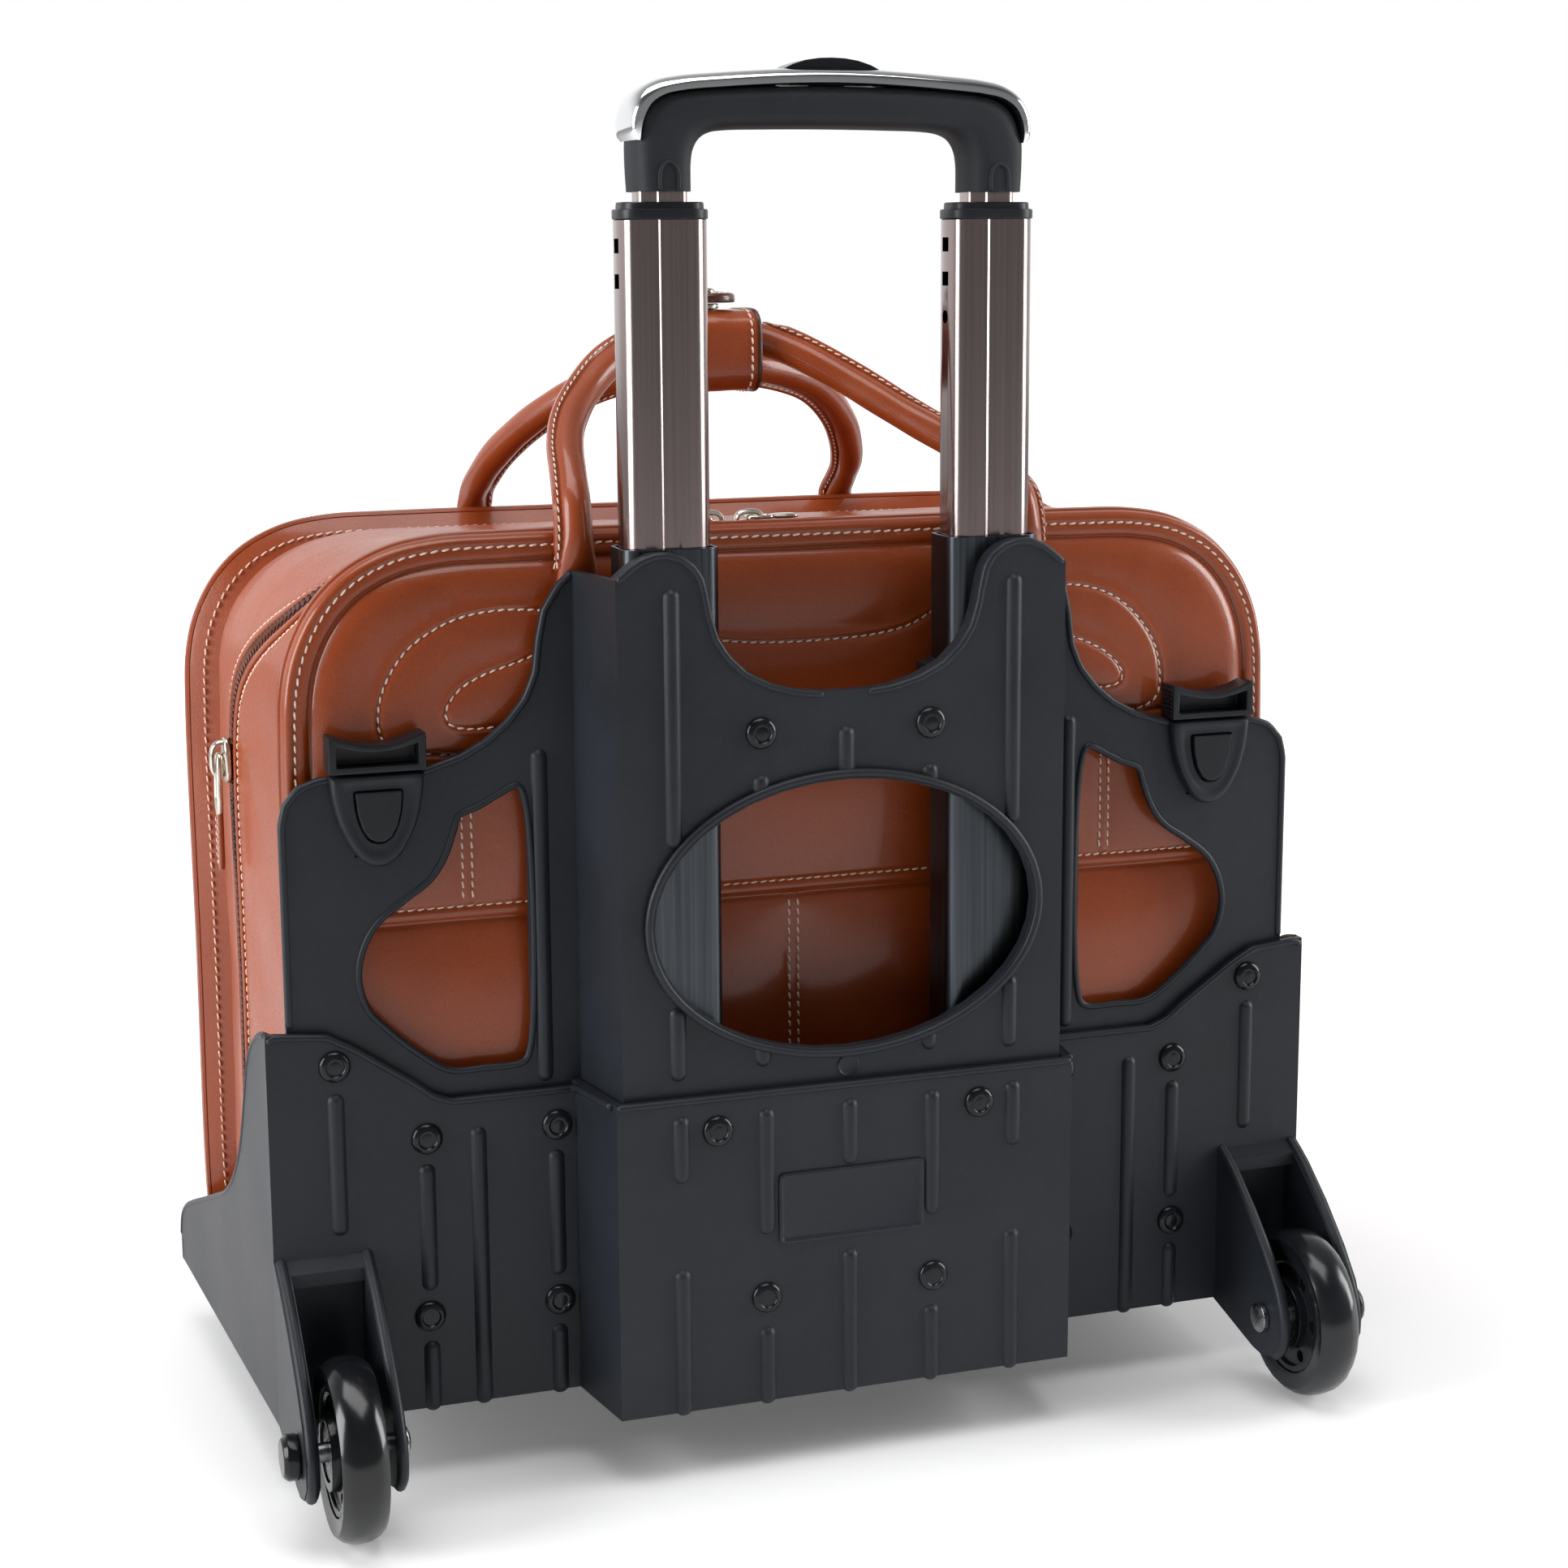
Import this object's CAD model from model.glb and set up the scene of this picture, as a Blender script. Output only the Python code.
import bpy, math
import numpy as np
from mathutils import Vector, Matrix
from mathutils.geometry import delaunay_2d_cdt
from mathutils.bvhtree import BVHTree


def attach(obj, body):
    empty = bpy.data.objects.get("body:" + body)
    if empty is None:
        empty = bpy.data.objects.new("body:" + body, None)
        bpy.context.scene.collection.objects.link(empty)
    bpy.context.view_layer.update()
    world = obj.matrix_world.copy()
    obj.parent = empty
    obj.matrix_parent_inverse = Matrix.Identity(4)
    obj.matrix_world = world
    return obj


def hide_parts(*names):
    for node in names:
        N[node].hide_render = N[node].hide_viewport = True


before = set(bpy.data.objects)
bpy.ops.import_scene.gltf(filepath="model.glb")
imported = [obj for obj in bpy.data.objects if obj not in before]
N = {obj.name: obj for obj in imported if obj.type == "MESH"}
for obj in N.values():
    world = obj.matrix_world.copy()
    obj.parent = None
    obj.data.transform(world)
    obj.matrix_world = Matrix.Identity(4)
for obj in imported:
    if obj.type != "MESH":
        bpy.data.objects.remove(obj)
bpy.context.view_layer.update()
SHIFT = -61.5


def P(x, y, z):
    return np.array((x, y + SHIFT, z), float) / 1000.0


# ------------------------------------------------------------------ materials
class Mat:
    """A small node builder round the Principled shader."""

    def __init__(s, name):
        s.m = bpy.data.materials.new(name)
        s.m.use_nodes = True
        s.t = s.m.node_tree
        s.t.nodes.clear()
        s.out = s.n("ShaderNodeOutputMaterial")
        s.b = s.n("ShaderNodeBsdfPrincipled")
        s.l(s.b.outputs[0], s.out.inputs[0])
        s.co = s.n("ShaderNodeTexCoord").outputs["Object"]

    def n(s, kind, **kw):
        o = s.t.nodes.new(kind)
        for k, v in kw.items():
            if hasattr(o, k) and k not in o.inputs:
                setattr(o, k, v)
            else:
                o.inputs[k].default_value = v
        return o

    def l(s, a, b):
        s.t.links.new(a, b)

    def set(s, **kw):
        for k, v in kw.items():
            s.b.inputs[k.replace("_", " ")].default_value = v
        return s

    def scaled(s, scale, src=None):
        m = s.n("ShaderNodeMapping")
        m.inputs["Scale"].default_value = scale
        s.l(src or s.co, m.inputs["Vector"])
        return m.outputs[0]

    def noise(s, scale, detail=3.0, rough=0.55, src=None, distort=0.0):
        o = s.n("ShaderNodeTexNoise")
        o.inputs["Scale"].default_value = scale
        o.inputs["Detail"].default_value = detail
        o.inputs["Roughness"].default_value = rough
        o.inputs["Distortion"].default_value = distort
        s.l(src or s.co, o.inputs["Vector"])
        return o.outputs["Fac"]

    def voronoi(s, scale, feature="F1", src=None, rand=1.0):
        o = s.n("ShaderNodeTexVoronoi")
        o.feature = feature
        o.inputs["Scale"].default_value = scale
        o.inputs["Randomness"].default_value = rand
        s.l(src or s.co, o.inputs["Vector"])
        return o.outputs["Distance"]

    def ramp(s, fac, stops):
        o = s.n("ShaderNodeValToRGB")
        e = o.color_ramp.elements
        while len(e) < len(stops):
            e.new(0.5)
        for el, (p, c) in zip(e, stops):
            el.position = p
            el.color = (c, c, c, 1) if isinstance(c, (int, float)) else (*c, 1)
        s.l(fac, o.inputs[0])
        return o.outputs[0]

    def mix(s, fac, a, b, mode="MIX"):
        o = s.n("ShaderNodeMix")
        o.data_type = "RGBA"
        o.blend_type = mode
        for sock, v in ((o.inputs[0], fac), (o.inputs[6], a), (o.inputs[7], b)):
            if isinstance(v, (int, float)):
                sock.default_value = v
            elif isinstance(v, tuple):
                sock.default_value = (*v, 1)
            else:
                s.l(v, sock)
        return o.outputs[2]

    def math(s, op, a, b=0.0):
        o = s.n("ShaderNodeMath")
        o.operation = op
        for i, v in ((0, a), (1, b)):
            if isinstance(v, (int, float)):
                o.inputs[i].default_value = v
            else:
                s.l(v, o.inputs[i])
        return o.outputs[0]

    def rng(s, fac, lo, hi, a=0.0, b=1.0):
        o = s.n("ShaderNodeMapRange")
        o.inputs[1].default_value, o.inputs[2].default_value = a, b
        o.inputs[3].default_value, o.inputs[4].default_value = lo, hi
        s.l(fac, o.inputs[0])
        return o.outputs[0]

    def bump(s, height, dist, strength=1.0, after=None):
        o = s.n("ShaderNodeBump")
        o.inputs["Strength"].default_value = strength
        o.inputs["Distance"].default_value = dist
        s.l(height, o.inputs["Height"])
        if after is not None:
            s.l(after, o.inputs["Normal"])
        return o.outputs[0]

    def color(s, v):
        s.l(v, s.b.inputs["Base Color"]) if not isinstance(v, tuple) else s.set(Base_Color=(*v, 1))

    def rough(s, v):
        s.l(v, s.b.inputs["Roughness"])

    def normal(s, v):
        s.l(v, s.b.inputs["Normal"])


def lin(r, g, b):
    f = lambda c: ((c / 255 + 0.055) / 1.055) ** 2.4 if c > 10 else c / 255 / 12.92
    return (f(r), f(g), f(b))


def leather(name, dark, mid, light, rough=(0.26, 0.4), grain=1.0, coat=0.5):
    m = Mat(name)
    big = m.noise(9.0, 3.0, 0.5)
    cloud = m.noise(38.0, 4.0, 0.6, distort=0.4)
    c = m.mix(m.rng(big, 0.0, 0.4, 0.3, 0.75), mid, dark)
    c = m.mix(m.rng(cloud, 0.0, 0.3, 0.35, 0.8), c, light)
    wob = m.n("ShaderNodeVectorMath")
    wob.operation = "ADD"
    wn = m.n("ShaderNodeTexNoise")
    wn.inputs["Scale"].default_value = 420.0
    m.l(m.co, wn.inputs["Vector"])
    ws = m.n("ShaderNodeVectorMath")
    ws.operation = "SCALE"
    ws.inputs["Scale"].default_value = 0.0011
    m.l(wn.outputs["Color"], ws.inputs[0])
    m.l(m.co, wob.inputs[0])
    m.l(ws.outputs[0], wob.inputs[1])
    cells = m.voronoi(820.0, "DISTANCE_TO_EDGE", wob.outputs[0])
    creases = m.rng(cells, 0.0, 1.0, 0.0, 0.16)
    pores = m.rng(m.voronoi(1500.0, "F1", wob.outputs[0]), 0.0, 1.0, 0.05, 0.42)
    fine = m.noise(2600.0, 2.0)
    # pores and creases hold a little more dye
    c = m.mix(m.math("MULTIPLY", m.math("SUBTRACT", 1.0, creases), 0.32 * grain), c, dark)
    m.color(c)
    r = m.rng(cloud, rough[0], rough[1], 0.3, 0.75)
    r = m.math("ADD", r, m.math("MULTIPLY", m.math("SUBTRACT", 1.0, creases), 0.1))
    m.rough(r)
    h = m.math("ADD", m.math("MULTIPLY", creases, 0.55), m.math("ADD", m.math("MULTIPLY", pores, 0.3), m.math("MULTIPLY", fine, 0.15)))
    b = m.bump(m.noise(60.0, 3.0), 0.0011, 0.22)
    m.normal(m.bump(h, 0.00016, 0.34 * grain, b))
    m.set(Coat_Weight=coat, Coat_Roughness=0.13, IOR=1.5, Specular_IOR_Level=0.3)
    return m.m


LEATHER = leather("leather_cognac", lin(108, 40, 10), lin(146, 62, 20), lin(162, 76, 28))
LEATHER_IN = leather("leather_gusset", lin(112, 42, 10), lin(152, 64, 20), lin(168, 78, 30), rough=(0.28, 0.38), coat=0.15)
LEATHER_DARK = leather("leather_edge", lin(38, 15, 9), lin(66, 27, 15), lin(88, 38, 22), rough=(0.3, 0.45), coat=0.2)
LEATHER_FLAP = leather("leather_flap", lin(42, 18, 12), lin(72, 30, 20), lin(96, 44, 30), rough=(0.22, 0.36))


def thread(name):
    m = Mat(name)
    w = m.n("ShaderNodeTexWave", Scale=420.0, Distortion=1.5)
    w.bands_direction = "DIAGONAL"
    m.l(m.co, w.inputs["Vector"])
    n = m.noise(300.0, 2.0)
    c = m.mix(m.rng(n, 0.0, 1.0, 0.3, 0.7), lin(244, 222, 206), lin(226, 196, 174))
    m.color(m.mix(m.rng(w.outputs["Fac"], 0.0, 0.35), c, lin(190, 152, 122)))
    m.rough(m.rng(n, 0.55, 0.75))
    m.normal(m.bump(w.outputs["Fac"], 0.00015, 0.6))
    m.set(Sheen_Weight=0.3, Sheen_Roughness=0.4)
    return m.m


THREAD = thread("stitch_thread")


def plastic(name, dark, light, rough=(0.36, 0.5), grain=0.5, dist=0.00012, scale=2300.0, coat=0.0):
    m = Mat(name)
    g = m.noise(scale, 2.0, 0.6)
    v = m.voronoi(scale * 0.8)
    cloud = m.noise(14.0, 4.0, 0.6)
    c = m.mix(m.rng(cloud, 0.0, 1.0, 0.35, 0.68), dark, light)
    c = m.mix(m.rng(g, 0.0, 0.3, 0.45, 0.8), c, light)
    fine = m.noise(240.0, 4.0, 0.65)
    c = m.mix(m.rng(fine, 0.0, 0.3, 0.5, 0.85), c, tuple(min(1, x * 1.35) for x in light))
    m.color(c)
    m.rough(m.math("ADD", m.rng(cloud, rough[0], rough[1], 0.3, 0.7), m.rng(g, -0.04, 0.06)))
    h = m.math("ADD", m.math("MULTIPLY", g, 0.6), m.math("MULTIPLY", v, 0.4))
    m.normal(m.bump(h, dist, grain))
    m.set(Coat_Weight=coat, Coat_Roughness=0.2, IOR=1.5, Specular_IOR_Level=0.3)
    return m.m


PLASTIC = plastic("plastic_trolley", lin(27, 30, 35), lin(35, 39, 46), rough=(0.38, 0.46), grain=0.6)
DARK = plastic("plastic_satin_black", lin(20, 22, 26), lin(30, 33, 38), rough=(0.3, 0.4), grain=0.35)
GLOSS = plastic("plastic_gloss_black", lin(15, 17, 20), lin(27, 30, 34), rough=(0.13, 0.2), grain=0.08)
SOFT = plastic("grip_soft_touch", lin(22, 25, 29), lin(32, 35, 40), rough=(0.55, 0.66), grain=0.7, scale=1700.0)
RUBBER = plastic("foot_rubber_black", lin(20, 20, 21), lin(34, 34, 35), rough=(0.7, 0.85), grain=0.8, scale=1300.0)
PU = plastic("wheel_pu_black", lin(13, 15, 17), lin(24, 26, 30), rough=(0.14, 0.24), grain=0.12, scale=900.0, coat=0.4)


def metal(name, a, b, rough=(0.16, 0.26), streak=(700.0, 700.0, 6.0), bump=0.12, dist=0.00004, spots=0.0):
    m = Mat(name)
    s = m.noise(1.0, 3.0, 0.6, m.scaled(streak))
    cloud = m.noise(20.0, 3.0)
    c = m.mix(m.rng(s, 0.0, 1.0, 0.3, 0.7), a, b)
    c = m.mix(m.rng(cloud, 0.0, 0.25, 0.4, 0.7), c, a)
    m.color(c)
    m.rough(m.math("ADD", m.rng(s, rough[0], rough[1], 0.3, 0.7), m.rng(cloud, -0.02, 0.04)))
    m.normal(m.bump(s, dist, bump))
    m.set(Metallic=1.0)
    return m.m


ALU = metal("tube_anodised_gunmetal", lin(150, 136, 134), lin(160, 147, 145), rough=(0.13, 0.18), streak=(900.0, 900.0, 4.0), bump=0.05)
ALU_IN = metal("tube_inner_anodised", lin(164, 150, 146), lin(176, 164, 160), rough=(0.15, 0.2), streak=(900.0, 900.0, 4.0), bump=0.05)
TUBE_OUT = metal("tube_outer_dark", lin(58, 62, 66), lin(84, 88, 92), rough=(0.26, 0.36))
CHROME = metal("grip_chrome_plate", lin(222, 224, 226), lin(236, 237, 238), rough=(0.05, 0.1), streak=(30.0, 30.0, 30.0), bump=0.03)
NICKEL = metal("nickel_plate", lin(205, 198, 184), lin(226, 220, 208), rough=(0.12, 0.24), streak=(160.0, 160.0, 160.0), bump=0.1)
STEEL = metal("steel_zinc", lin(140, 142, 146), lin(176, 178, 182), rough=(0.2, 0.34), streak=(400.0, 400.0, 400.0), bump=0.15)


def textile(name, a, b, scale, rough=0.85, dist=0.00025):
    m = Mat(name)
    w = []
    for axis in ((1, 0, 0.35), (0, 0.25, 1)):
        k = m.n("ShaderNodeTexWave", Scale=scale, Distortion=0.6)
        k.wave_type = "BANDS"
        k.bands_direction = "X" if axis[0] else "Z"
        m.l(m.co, k.inputs["Vector"])
        w.append(k.outputs["Fac"])
    h = m.math("MAXIMUM", w[0], w[1])
    c = m.mix(h, a, b)
    m.color(m.mix(m.rng(m.noise(40.0), 0.0, 0.4), c, a))
    m.rough(m.rng(h, rough - 0.08, rough + 0.08))
    m.normal(m.bump(h, dist, 0.8))
    m.set(Sheen_Weight=0.04, Sheen_Roughness=0.45)
    return m.m


TAPE = textile("zip_tape_brown", lin(66, 32, 20), lin(100, 54, 36), 330.0)
TEETH = plastic("zip_coil_brown", lin(70, 34, 22), lin(112, 62, 44), rough=(0.3, 0.42), grain=0.2)
LINING = textile("lining_weave", lin(86, 76, 66), lin(126, 114, 100), 260.0)


# ---------------------------------------------------------------- mesh helpers
def smooth_group():
    g = bpy.data.node_groups.new("smooth_by_edge_angle", "GeometryNodeTree")
    g.interface.new_socket("Geometry", in_out="INPUT", socket_type="NodeSocketGeometry")
    g.interface.new_socket("Geometry", in_out="OUTPUT", socket_type="NodeSocketGeometry")
    i, o = g.nodes.new("NodeGroupInput"), g.nodes.new("NodeGroupOutput")
    a, b = g.nodes.new("GeometryNodeSetShadeSmooth"), g.nodes.new("GeometryNodeSetShadeSmooth")
    a.domain, b.domain = "FACE", "EDGE"
    a.inputs["Shade Smooth"].default_value = True
    b.inputs["Shade Smooth"].default_value = False
    ang = g.nodes.new("GeometryNodeInputMeshEdgeAngle")
    cmp = g.nodes.new("FunctionNodeCompare")
    cmp.data_type, cmp.operation = "FLOAT", "GREATER_THAN"
    cmp.inputs[1].default_value = math.radians(38)
    g.links.new(ang.outputs["Unsigned Angle"], cmp.inputs[0])
    g.links.new(i.outputs[0], a.inputs["Geometry"])
    g.links.new(a.outputs[0], b.inputs["Geometry"])
    g.links.new(cmp.outputs[0], b.inputs["Selection"])
    g.links.new(b.outputs[0], o.inputs[0])
    return g


SMOOTH = smooth_group()


def smooth_mod(o, weighted=True):
    m = o.modifiers.new("shade", "NODES")
    m.node_group = SMOOTH
    if weighted:
        w = o.modifiers.new("normals", "WEIGHTED_NORMAL")
        w.keep_sharp = True
        w.weight = 80


def cad_finish(o, width=0.0007, segments=2, angle=35):
    """Rounds the hard edges of a carried-over node without touching its mesh."""
    w = o.modifiers.new("weld", "WELD")
    w.merge_threshold = 1e-5
    if width:
        b = o.modifiers.new("edge_round", "BEVEL")
        b.width, b.segments, b.limit_method = width, segments, "ANGLE"
        b.angle_limit = math.radians(angle)
        b.use_clamp_overlap = True
        b.miter_outer = "MITER_ARC"
    smooth_mod(o)


def give(o, m):
    o.data.materials.clear()
    o.data.materials.append(m)


class B:
    """Collects verts and faces of one piece."""

    def __init__(s):
        s.v, s.f, s.n = [], [], 0

    def add(s, verts, faces):
        verts = np.asarray(verts, float).reshape(-1, 3)
        s.v.append(verts)
        k = s.n
        s.f.extend([tuple(k + i for i in f) for f in faces])
        s.n += len(verts)

    def obj(s, name, mat, body, slot=None, smooth=True, mods=True):
        me = bpy.data.meshes.new(name)
        me.from_pydata([tuple(v) for v in np.concatenate(s.v)], [], s.f)
        me.validate()
        me.update()
        o = bpy.data.objects.new(name, me)
        bpy.context.scene.collection.objects.link(o)
        me.materials.append(mat)
        if smooth:
            me.polygons.foreach_set("use_smooth", [True] * len(me.polygons))
        if mods:
            smooth_mod(o, False)
        if body:
            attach(o, body)
        return o


def polyline(pts, step, closed=False):
    p = np.array(pts, float)
    if closed:
        p = np.vstack([p, p[:1]])
    d = np.r_[0, np.cumsum(np.linalg.norm(np.diff(p, axis=0), axis=1))]
    n = max(2, int(round(d[-1] / step)) + 1)
    s = np.linspace(0, d[-1], n)
    q = np.stack([np.interp(s, d, p[:, k]) for k in range(p.shape[1])], 1)
    return q[:-1] if closed else q


def spline(pts, step, closed=False, sub=12):
    p = np.array(pts, float)
    n = len(p)
    if closed:
        ext = np.vstack([p[-1], p, p[0], p[1]])
        segs = n
    else:
        ext = np.vstack([2 * p[0] - p[1], p, 2 * p[-1] - p[-2]])
        segs = n - 1
    out = []
    for i in range(segs):
        a, b, c, d = ext[i : i + 4]
        ta = 0
        tb = ta + max(np.linalg.norm(b - a), 1e-9) ** 0.5
        tc = tb + max(np.linalg.norm(c - b), 1e-9) ** 0.5
        td = tc + max(np.linalg.norm(d - c), 1e-9) ** 0.5
        for k in range(sub):
            t = tb + (tc - tb) * k / sub
            A1 = (tb - t) / (tb - ta) * a + (t - ta) / (tb - ta) * b
            A2 = (tc - t) / (tc - tb) * b + (t - tb) / (tc - tb) * c
            A3 = (td - t) / (td - tc) * c + (t - tc) / (td - tc) * d
            B1 = (tc - t) / (tc - ta) * A1 + (t - ta) / (tc - ta) * A2
            B2 = (td - t) / (td - tb) * A2 + (t - tb) / (td - tb) * A3
            out.append((tc - t) / (tc - tb) * B1 + (t - tb) / (tc - tb) * B2)
    if not closed:
        out.append(p[-1])
    return polyline(out, step, closed)


def unit(v):
    v = np.asarray(v, float)
    return v / np.maximum(np.linalg.norm(v, axis=-1, keepdims=True), 1e-12)


def tangents(p, closed):
    if closed:
        return unit(np.roll(p, -1, 0) - np.roll(p, 1, 0))
    return unit(np.gradient(p, axis=0))


def circle(r, n=10, ry=None):
    a = 2 * np.pi * np.arange(n) / n
    return np.stack([r * np.cos(a), (ry or r) * np.sin(a)], 1)


def sweep(b, pts, sec, up=(0, 0, 1), closed=False, scale=None, caps=True):
    """Sweeps a section (across, up) along points in metres. up is one vector or one per point."""
    p = np.asarray(pts, float)
    t = tangents(p, closed)
    u = np.broadcast_to(np.asarray(up, float), p.shape).copy()
    u = unit(u - (u * t).sum(1, keepdims=True) * t)
    w = np.cross(t, u)
    sec = np.asarray(sec, float)
    k, n = len(p), len(sec)
    sc = np.ones((k, 2)) if scale is None else np.asarray(scale, float).reshape(k, -1) * np.ones((1, 2))
    v = p[:, None] + w[:, None] * (sec[None, :, :1] * sc[:, None, :1]) + u[:, None] * (sec[None, :, 1:] * sc[:, None, 1:])
    f = []
    for i in range(k if closed else k - 1):
        j = (i + 1) % k
        for a in range(n):
            c = (a + 1) % n
            f.append((i * n + a, j * n + a, j * n + c, i * n + c))
    if not closed and caps:
        f.append(tuple(range(n)))
        f.append(tuple((k - 1) * n + a for a in range(n))[::-1])
    b.add(v.reshape(-1, 3), f)


def dome_ends(p, r):
    """Scale of a sweep whose ends round off over r metres."""
    d = np.r_[0, np.cumsum(np.linalg.norm(np.diff(p, axis=0), axis=1))]
    e = np.minimum(d, d[-1] - d) / r
    return np.sqrt(np.clip(1 - (1 - np.clip(e, 0.02, 1)) ** 2, 0, 1))


def add_ends(p, r, n=4):
    """More points near both ends, so that they round off cleanly."""
    d = np.r_[0, np.cumsum(np.linalg.norm(np.diff(p, axis=0), axis=1))]
    extra = r * (1 - np.cos(np.linspace(0, np.pi / 2, n + 1)))
    s = np.unique(np.r_[extra, d[-1] - extra, d[(d > r) & (d < d[-1] - r)]])
    return np.stack([np.interp(s, d, p[:, k]) for k in range(3)], 1)


def stitches(b, pts, nor, pitch=3.9, length=3.0, r=0.44, slant=0.16, lift=0.1):
    """A row of short thread capsules along a line on a surface, in metres."""
    p = np.asarray(pts, float)
    nor = np.broadcast_to(np.asarray(nor, float), p.shape)
    d = np.r_[0, np.cumsum(np.linalg.norm(np.diff(p, axis=0), axis=1))]
    pitch, length, r, lift = pitch / 1e3, length / 1e3, r / 1e3, lift / 1e3
    n = int(d[-1] / pitch)
    if n < 1:
        return
    off = (d[-1] - n * pitch) / 2
    prof = [(-0.5, 0.25, -0.9), (-0.42, 0.8, -0.15), (-0.2, 1.0, 0.25), (0.2, 1.0, 0.25), (0.42, 0.8, -0.15), (0.5, 0.25, -0.9)]
    for i in range(n):
        s = off + (i + 0.5) * pitch
        at = lambda q, s: np.array([np.interp(s, d, q[:, k]) for k in range(3)])
        c, nn = at(p, s), unit(at(nor, s))
        t = unit(at(p, s + length / 2) - at(p, s - length / 2))
        w = unit(np.cross(nn, t))
        t = unit(t + w * slant)
        w = unit(np.cross(nn, t))
        rings = []
        for (u, k, h) in prof:
            o = c + t * (u * length) + nn * (lift + h * r)
            for a in range(6):
                g = math.pi * a / 3
                rings.append(o + w * (math.cos(g) * r * k) + nn * (math.sin(g) * r * k))
        f = [(q * 6 + a, q * 6 + (a + 1) % 6, (q + 1) * 6 + (a + 1) % 6, (q + 1) * 6 + a) for q in range(5) for a in range(6)]
        f += [tuple(range(6))[::-1], tuple(range(30, 36))]
        b.add(rings, f)


# ------------------------------------------------------------ carried-over CAD
def on(names, mat, width=0.0007, segments=2, angle=35):
    for n in names:
        give(N[n], mat)
        cad_finish(N[n], width, segments, angle)


LR = ("left", "right")
on(["lower_frame"], PLASTIC, 0.0011, 3)
on(["upper_panel"], PLASTIC, 0.0011, 3)
on([f"latch_button_{s}" for s in LR], DARK, 0.0006, 3)
on([f"latch_{s}" for s in LR], DARK, 0.0006, 2)
on([f"foot_{s}" for s in LR], RUBBER, 0.0015, 3)
on([f"tyre_{s}" for s in LR], PU, 0)
on([f"hub_{s}" for s in LR], GLOSS, 0.0005, 2)
on([f"bearing_{s}_{k}" for s in LR for k in ("inner", "outer")], STEEL, 0.0003, 2)
on([f"axle_{s}" for s in LR], STEEL, 0.0002, 2)
on([f"axle_cap_{s}" for s in LR], GLOSS, 0.0006, 3)
on([f"outer_tube_{s}" for s in LR], TUBE_OUT, 0.0003, 2)
on([f"release_rod_{s}" for s in LR], STEEL, 0)
on(["release_button"], GLOSS, 0.0008, 3, 30)
on(["laptop_divider"], LINING, 0.0015, 3)
on(["snap_stud"], NICKEL, 0.0006, 3)
on(["side_slider"] + [f"top_{k}_{s}" for k in ("slider", "pull") for s in LR], NICKEL, 0.0006, 3)


# ------------------------------------------------------------- trolley details
def bead(b, pts, r, up, closed=False, flat=1.0, ends=True):
    p = np.array([P(*q) for q in pts])
    if not closed and ends:
        p = add_ends(p, r / 1000)
    sc = None if closed or not ends else dome_ends(p, r / 1000)
    sweep(b, p, circle(r / 1000, 10, r * flat / 1000), up, closed, sc)


def rib(b, x, z0, z1, y, w=6.2, h=2.1):
    """A long raised bead with round ends, standing out of a plate towards -y."""
    zs = sorted((z0, z1))
    rings = []
    prof = [(w / 2 + 0.5, -0.6), (w / 2 + 0.15, 0.12), (w / 2 - 0.35, 0.75), (w / 2 - 1.0, 1.45), (w / 2 - 1.8, 1.9), (w / 2 - 2.6, h)]
    m = 8
    for rad, hh in prof:
        ring = []
        for k in range(m + 1):
            a = math.pi * k / m
            ring.append(P(x + rad * math.cos(a), y - hh, zs[1] - w / 2 + rad * math.sin(a)))
        for k in range(m + 1):
            a = math.pi + math.pi * k / m
            ring.append(P(x + rad * math.cos(a), y - hh, zs[0] + w / 2 + rad * math.sin(a)))
        rings.append(ring)
    n = len(rings[0])
    f = [(q * n + a, (q + 1) * n + a, (q + 1) * n + (a + 1) % n, q * n + (a + 1) % n) for q in range(len(rings) - 1) for a in range(n)]
    f += [tuple(range(n)), tuple((len(rings) - 1) * n + a for a in range(n))[::-1]]
    b.add(np.array(rings).reshape(-1, 3), f)


def mirrored(pts):
    return [(-p[0],) + tuple(p[1:]) for p in pts]


LOWER = [(222.4, 184), (219, 186.2), (198.4, 184.2), (187.5, 178.2), (164.6, 162.4), (157.5, 156.6), (151, 154), (102.5, 154)]
LOBE = [(91.8, 118), (91.8, 357.6), (88, 361), (83, 364.6), (77, 366.9), (71, 367.2), (65, 365.3), (60, 361.5), (57, 356.5), (55.3, 349), (54, 342), (51.5, 334), (47, 327), (40, 320.4), (30, 315.4), (18.7, 312.4), (9, 311.4)]
FLANGE = [(213.5, 187), (213.5, 266), (211.5, 274), (206, 280.4), (197.6, 283.4), (157, 284.6), (143, 289), (133, 294.3), (124.9, 301), (118, 309.5), (114, 319), (112.4, 332), (110, 343), (104, 352.5), (98.5, 357.6)]
WINDOW = [(117.5, 272), (121, 277), (128.5, 274), (137, 269.5), (145.5, 266), (148, 259), (151.5, 250), (157, 242), (167.5, 234.6), (178.4, 226), (184.4, 215.5), (186.3, 203.5), (182.8, 191), (176, 183), (162.7, 171), (151, 163.5), (136, 163), (121, 163.7), (117.5, 168)]


def inset2(pts, d, closed=False):
    p = np.array(pts, float)
    t = tangents(p, closed)
    return p + np.stack([-t[:, 1], t[:, 0]], 1) * d


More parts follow.
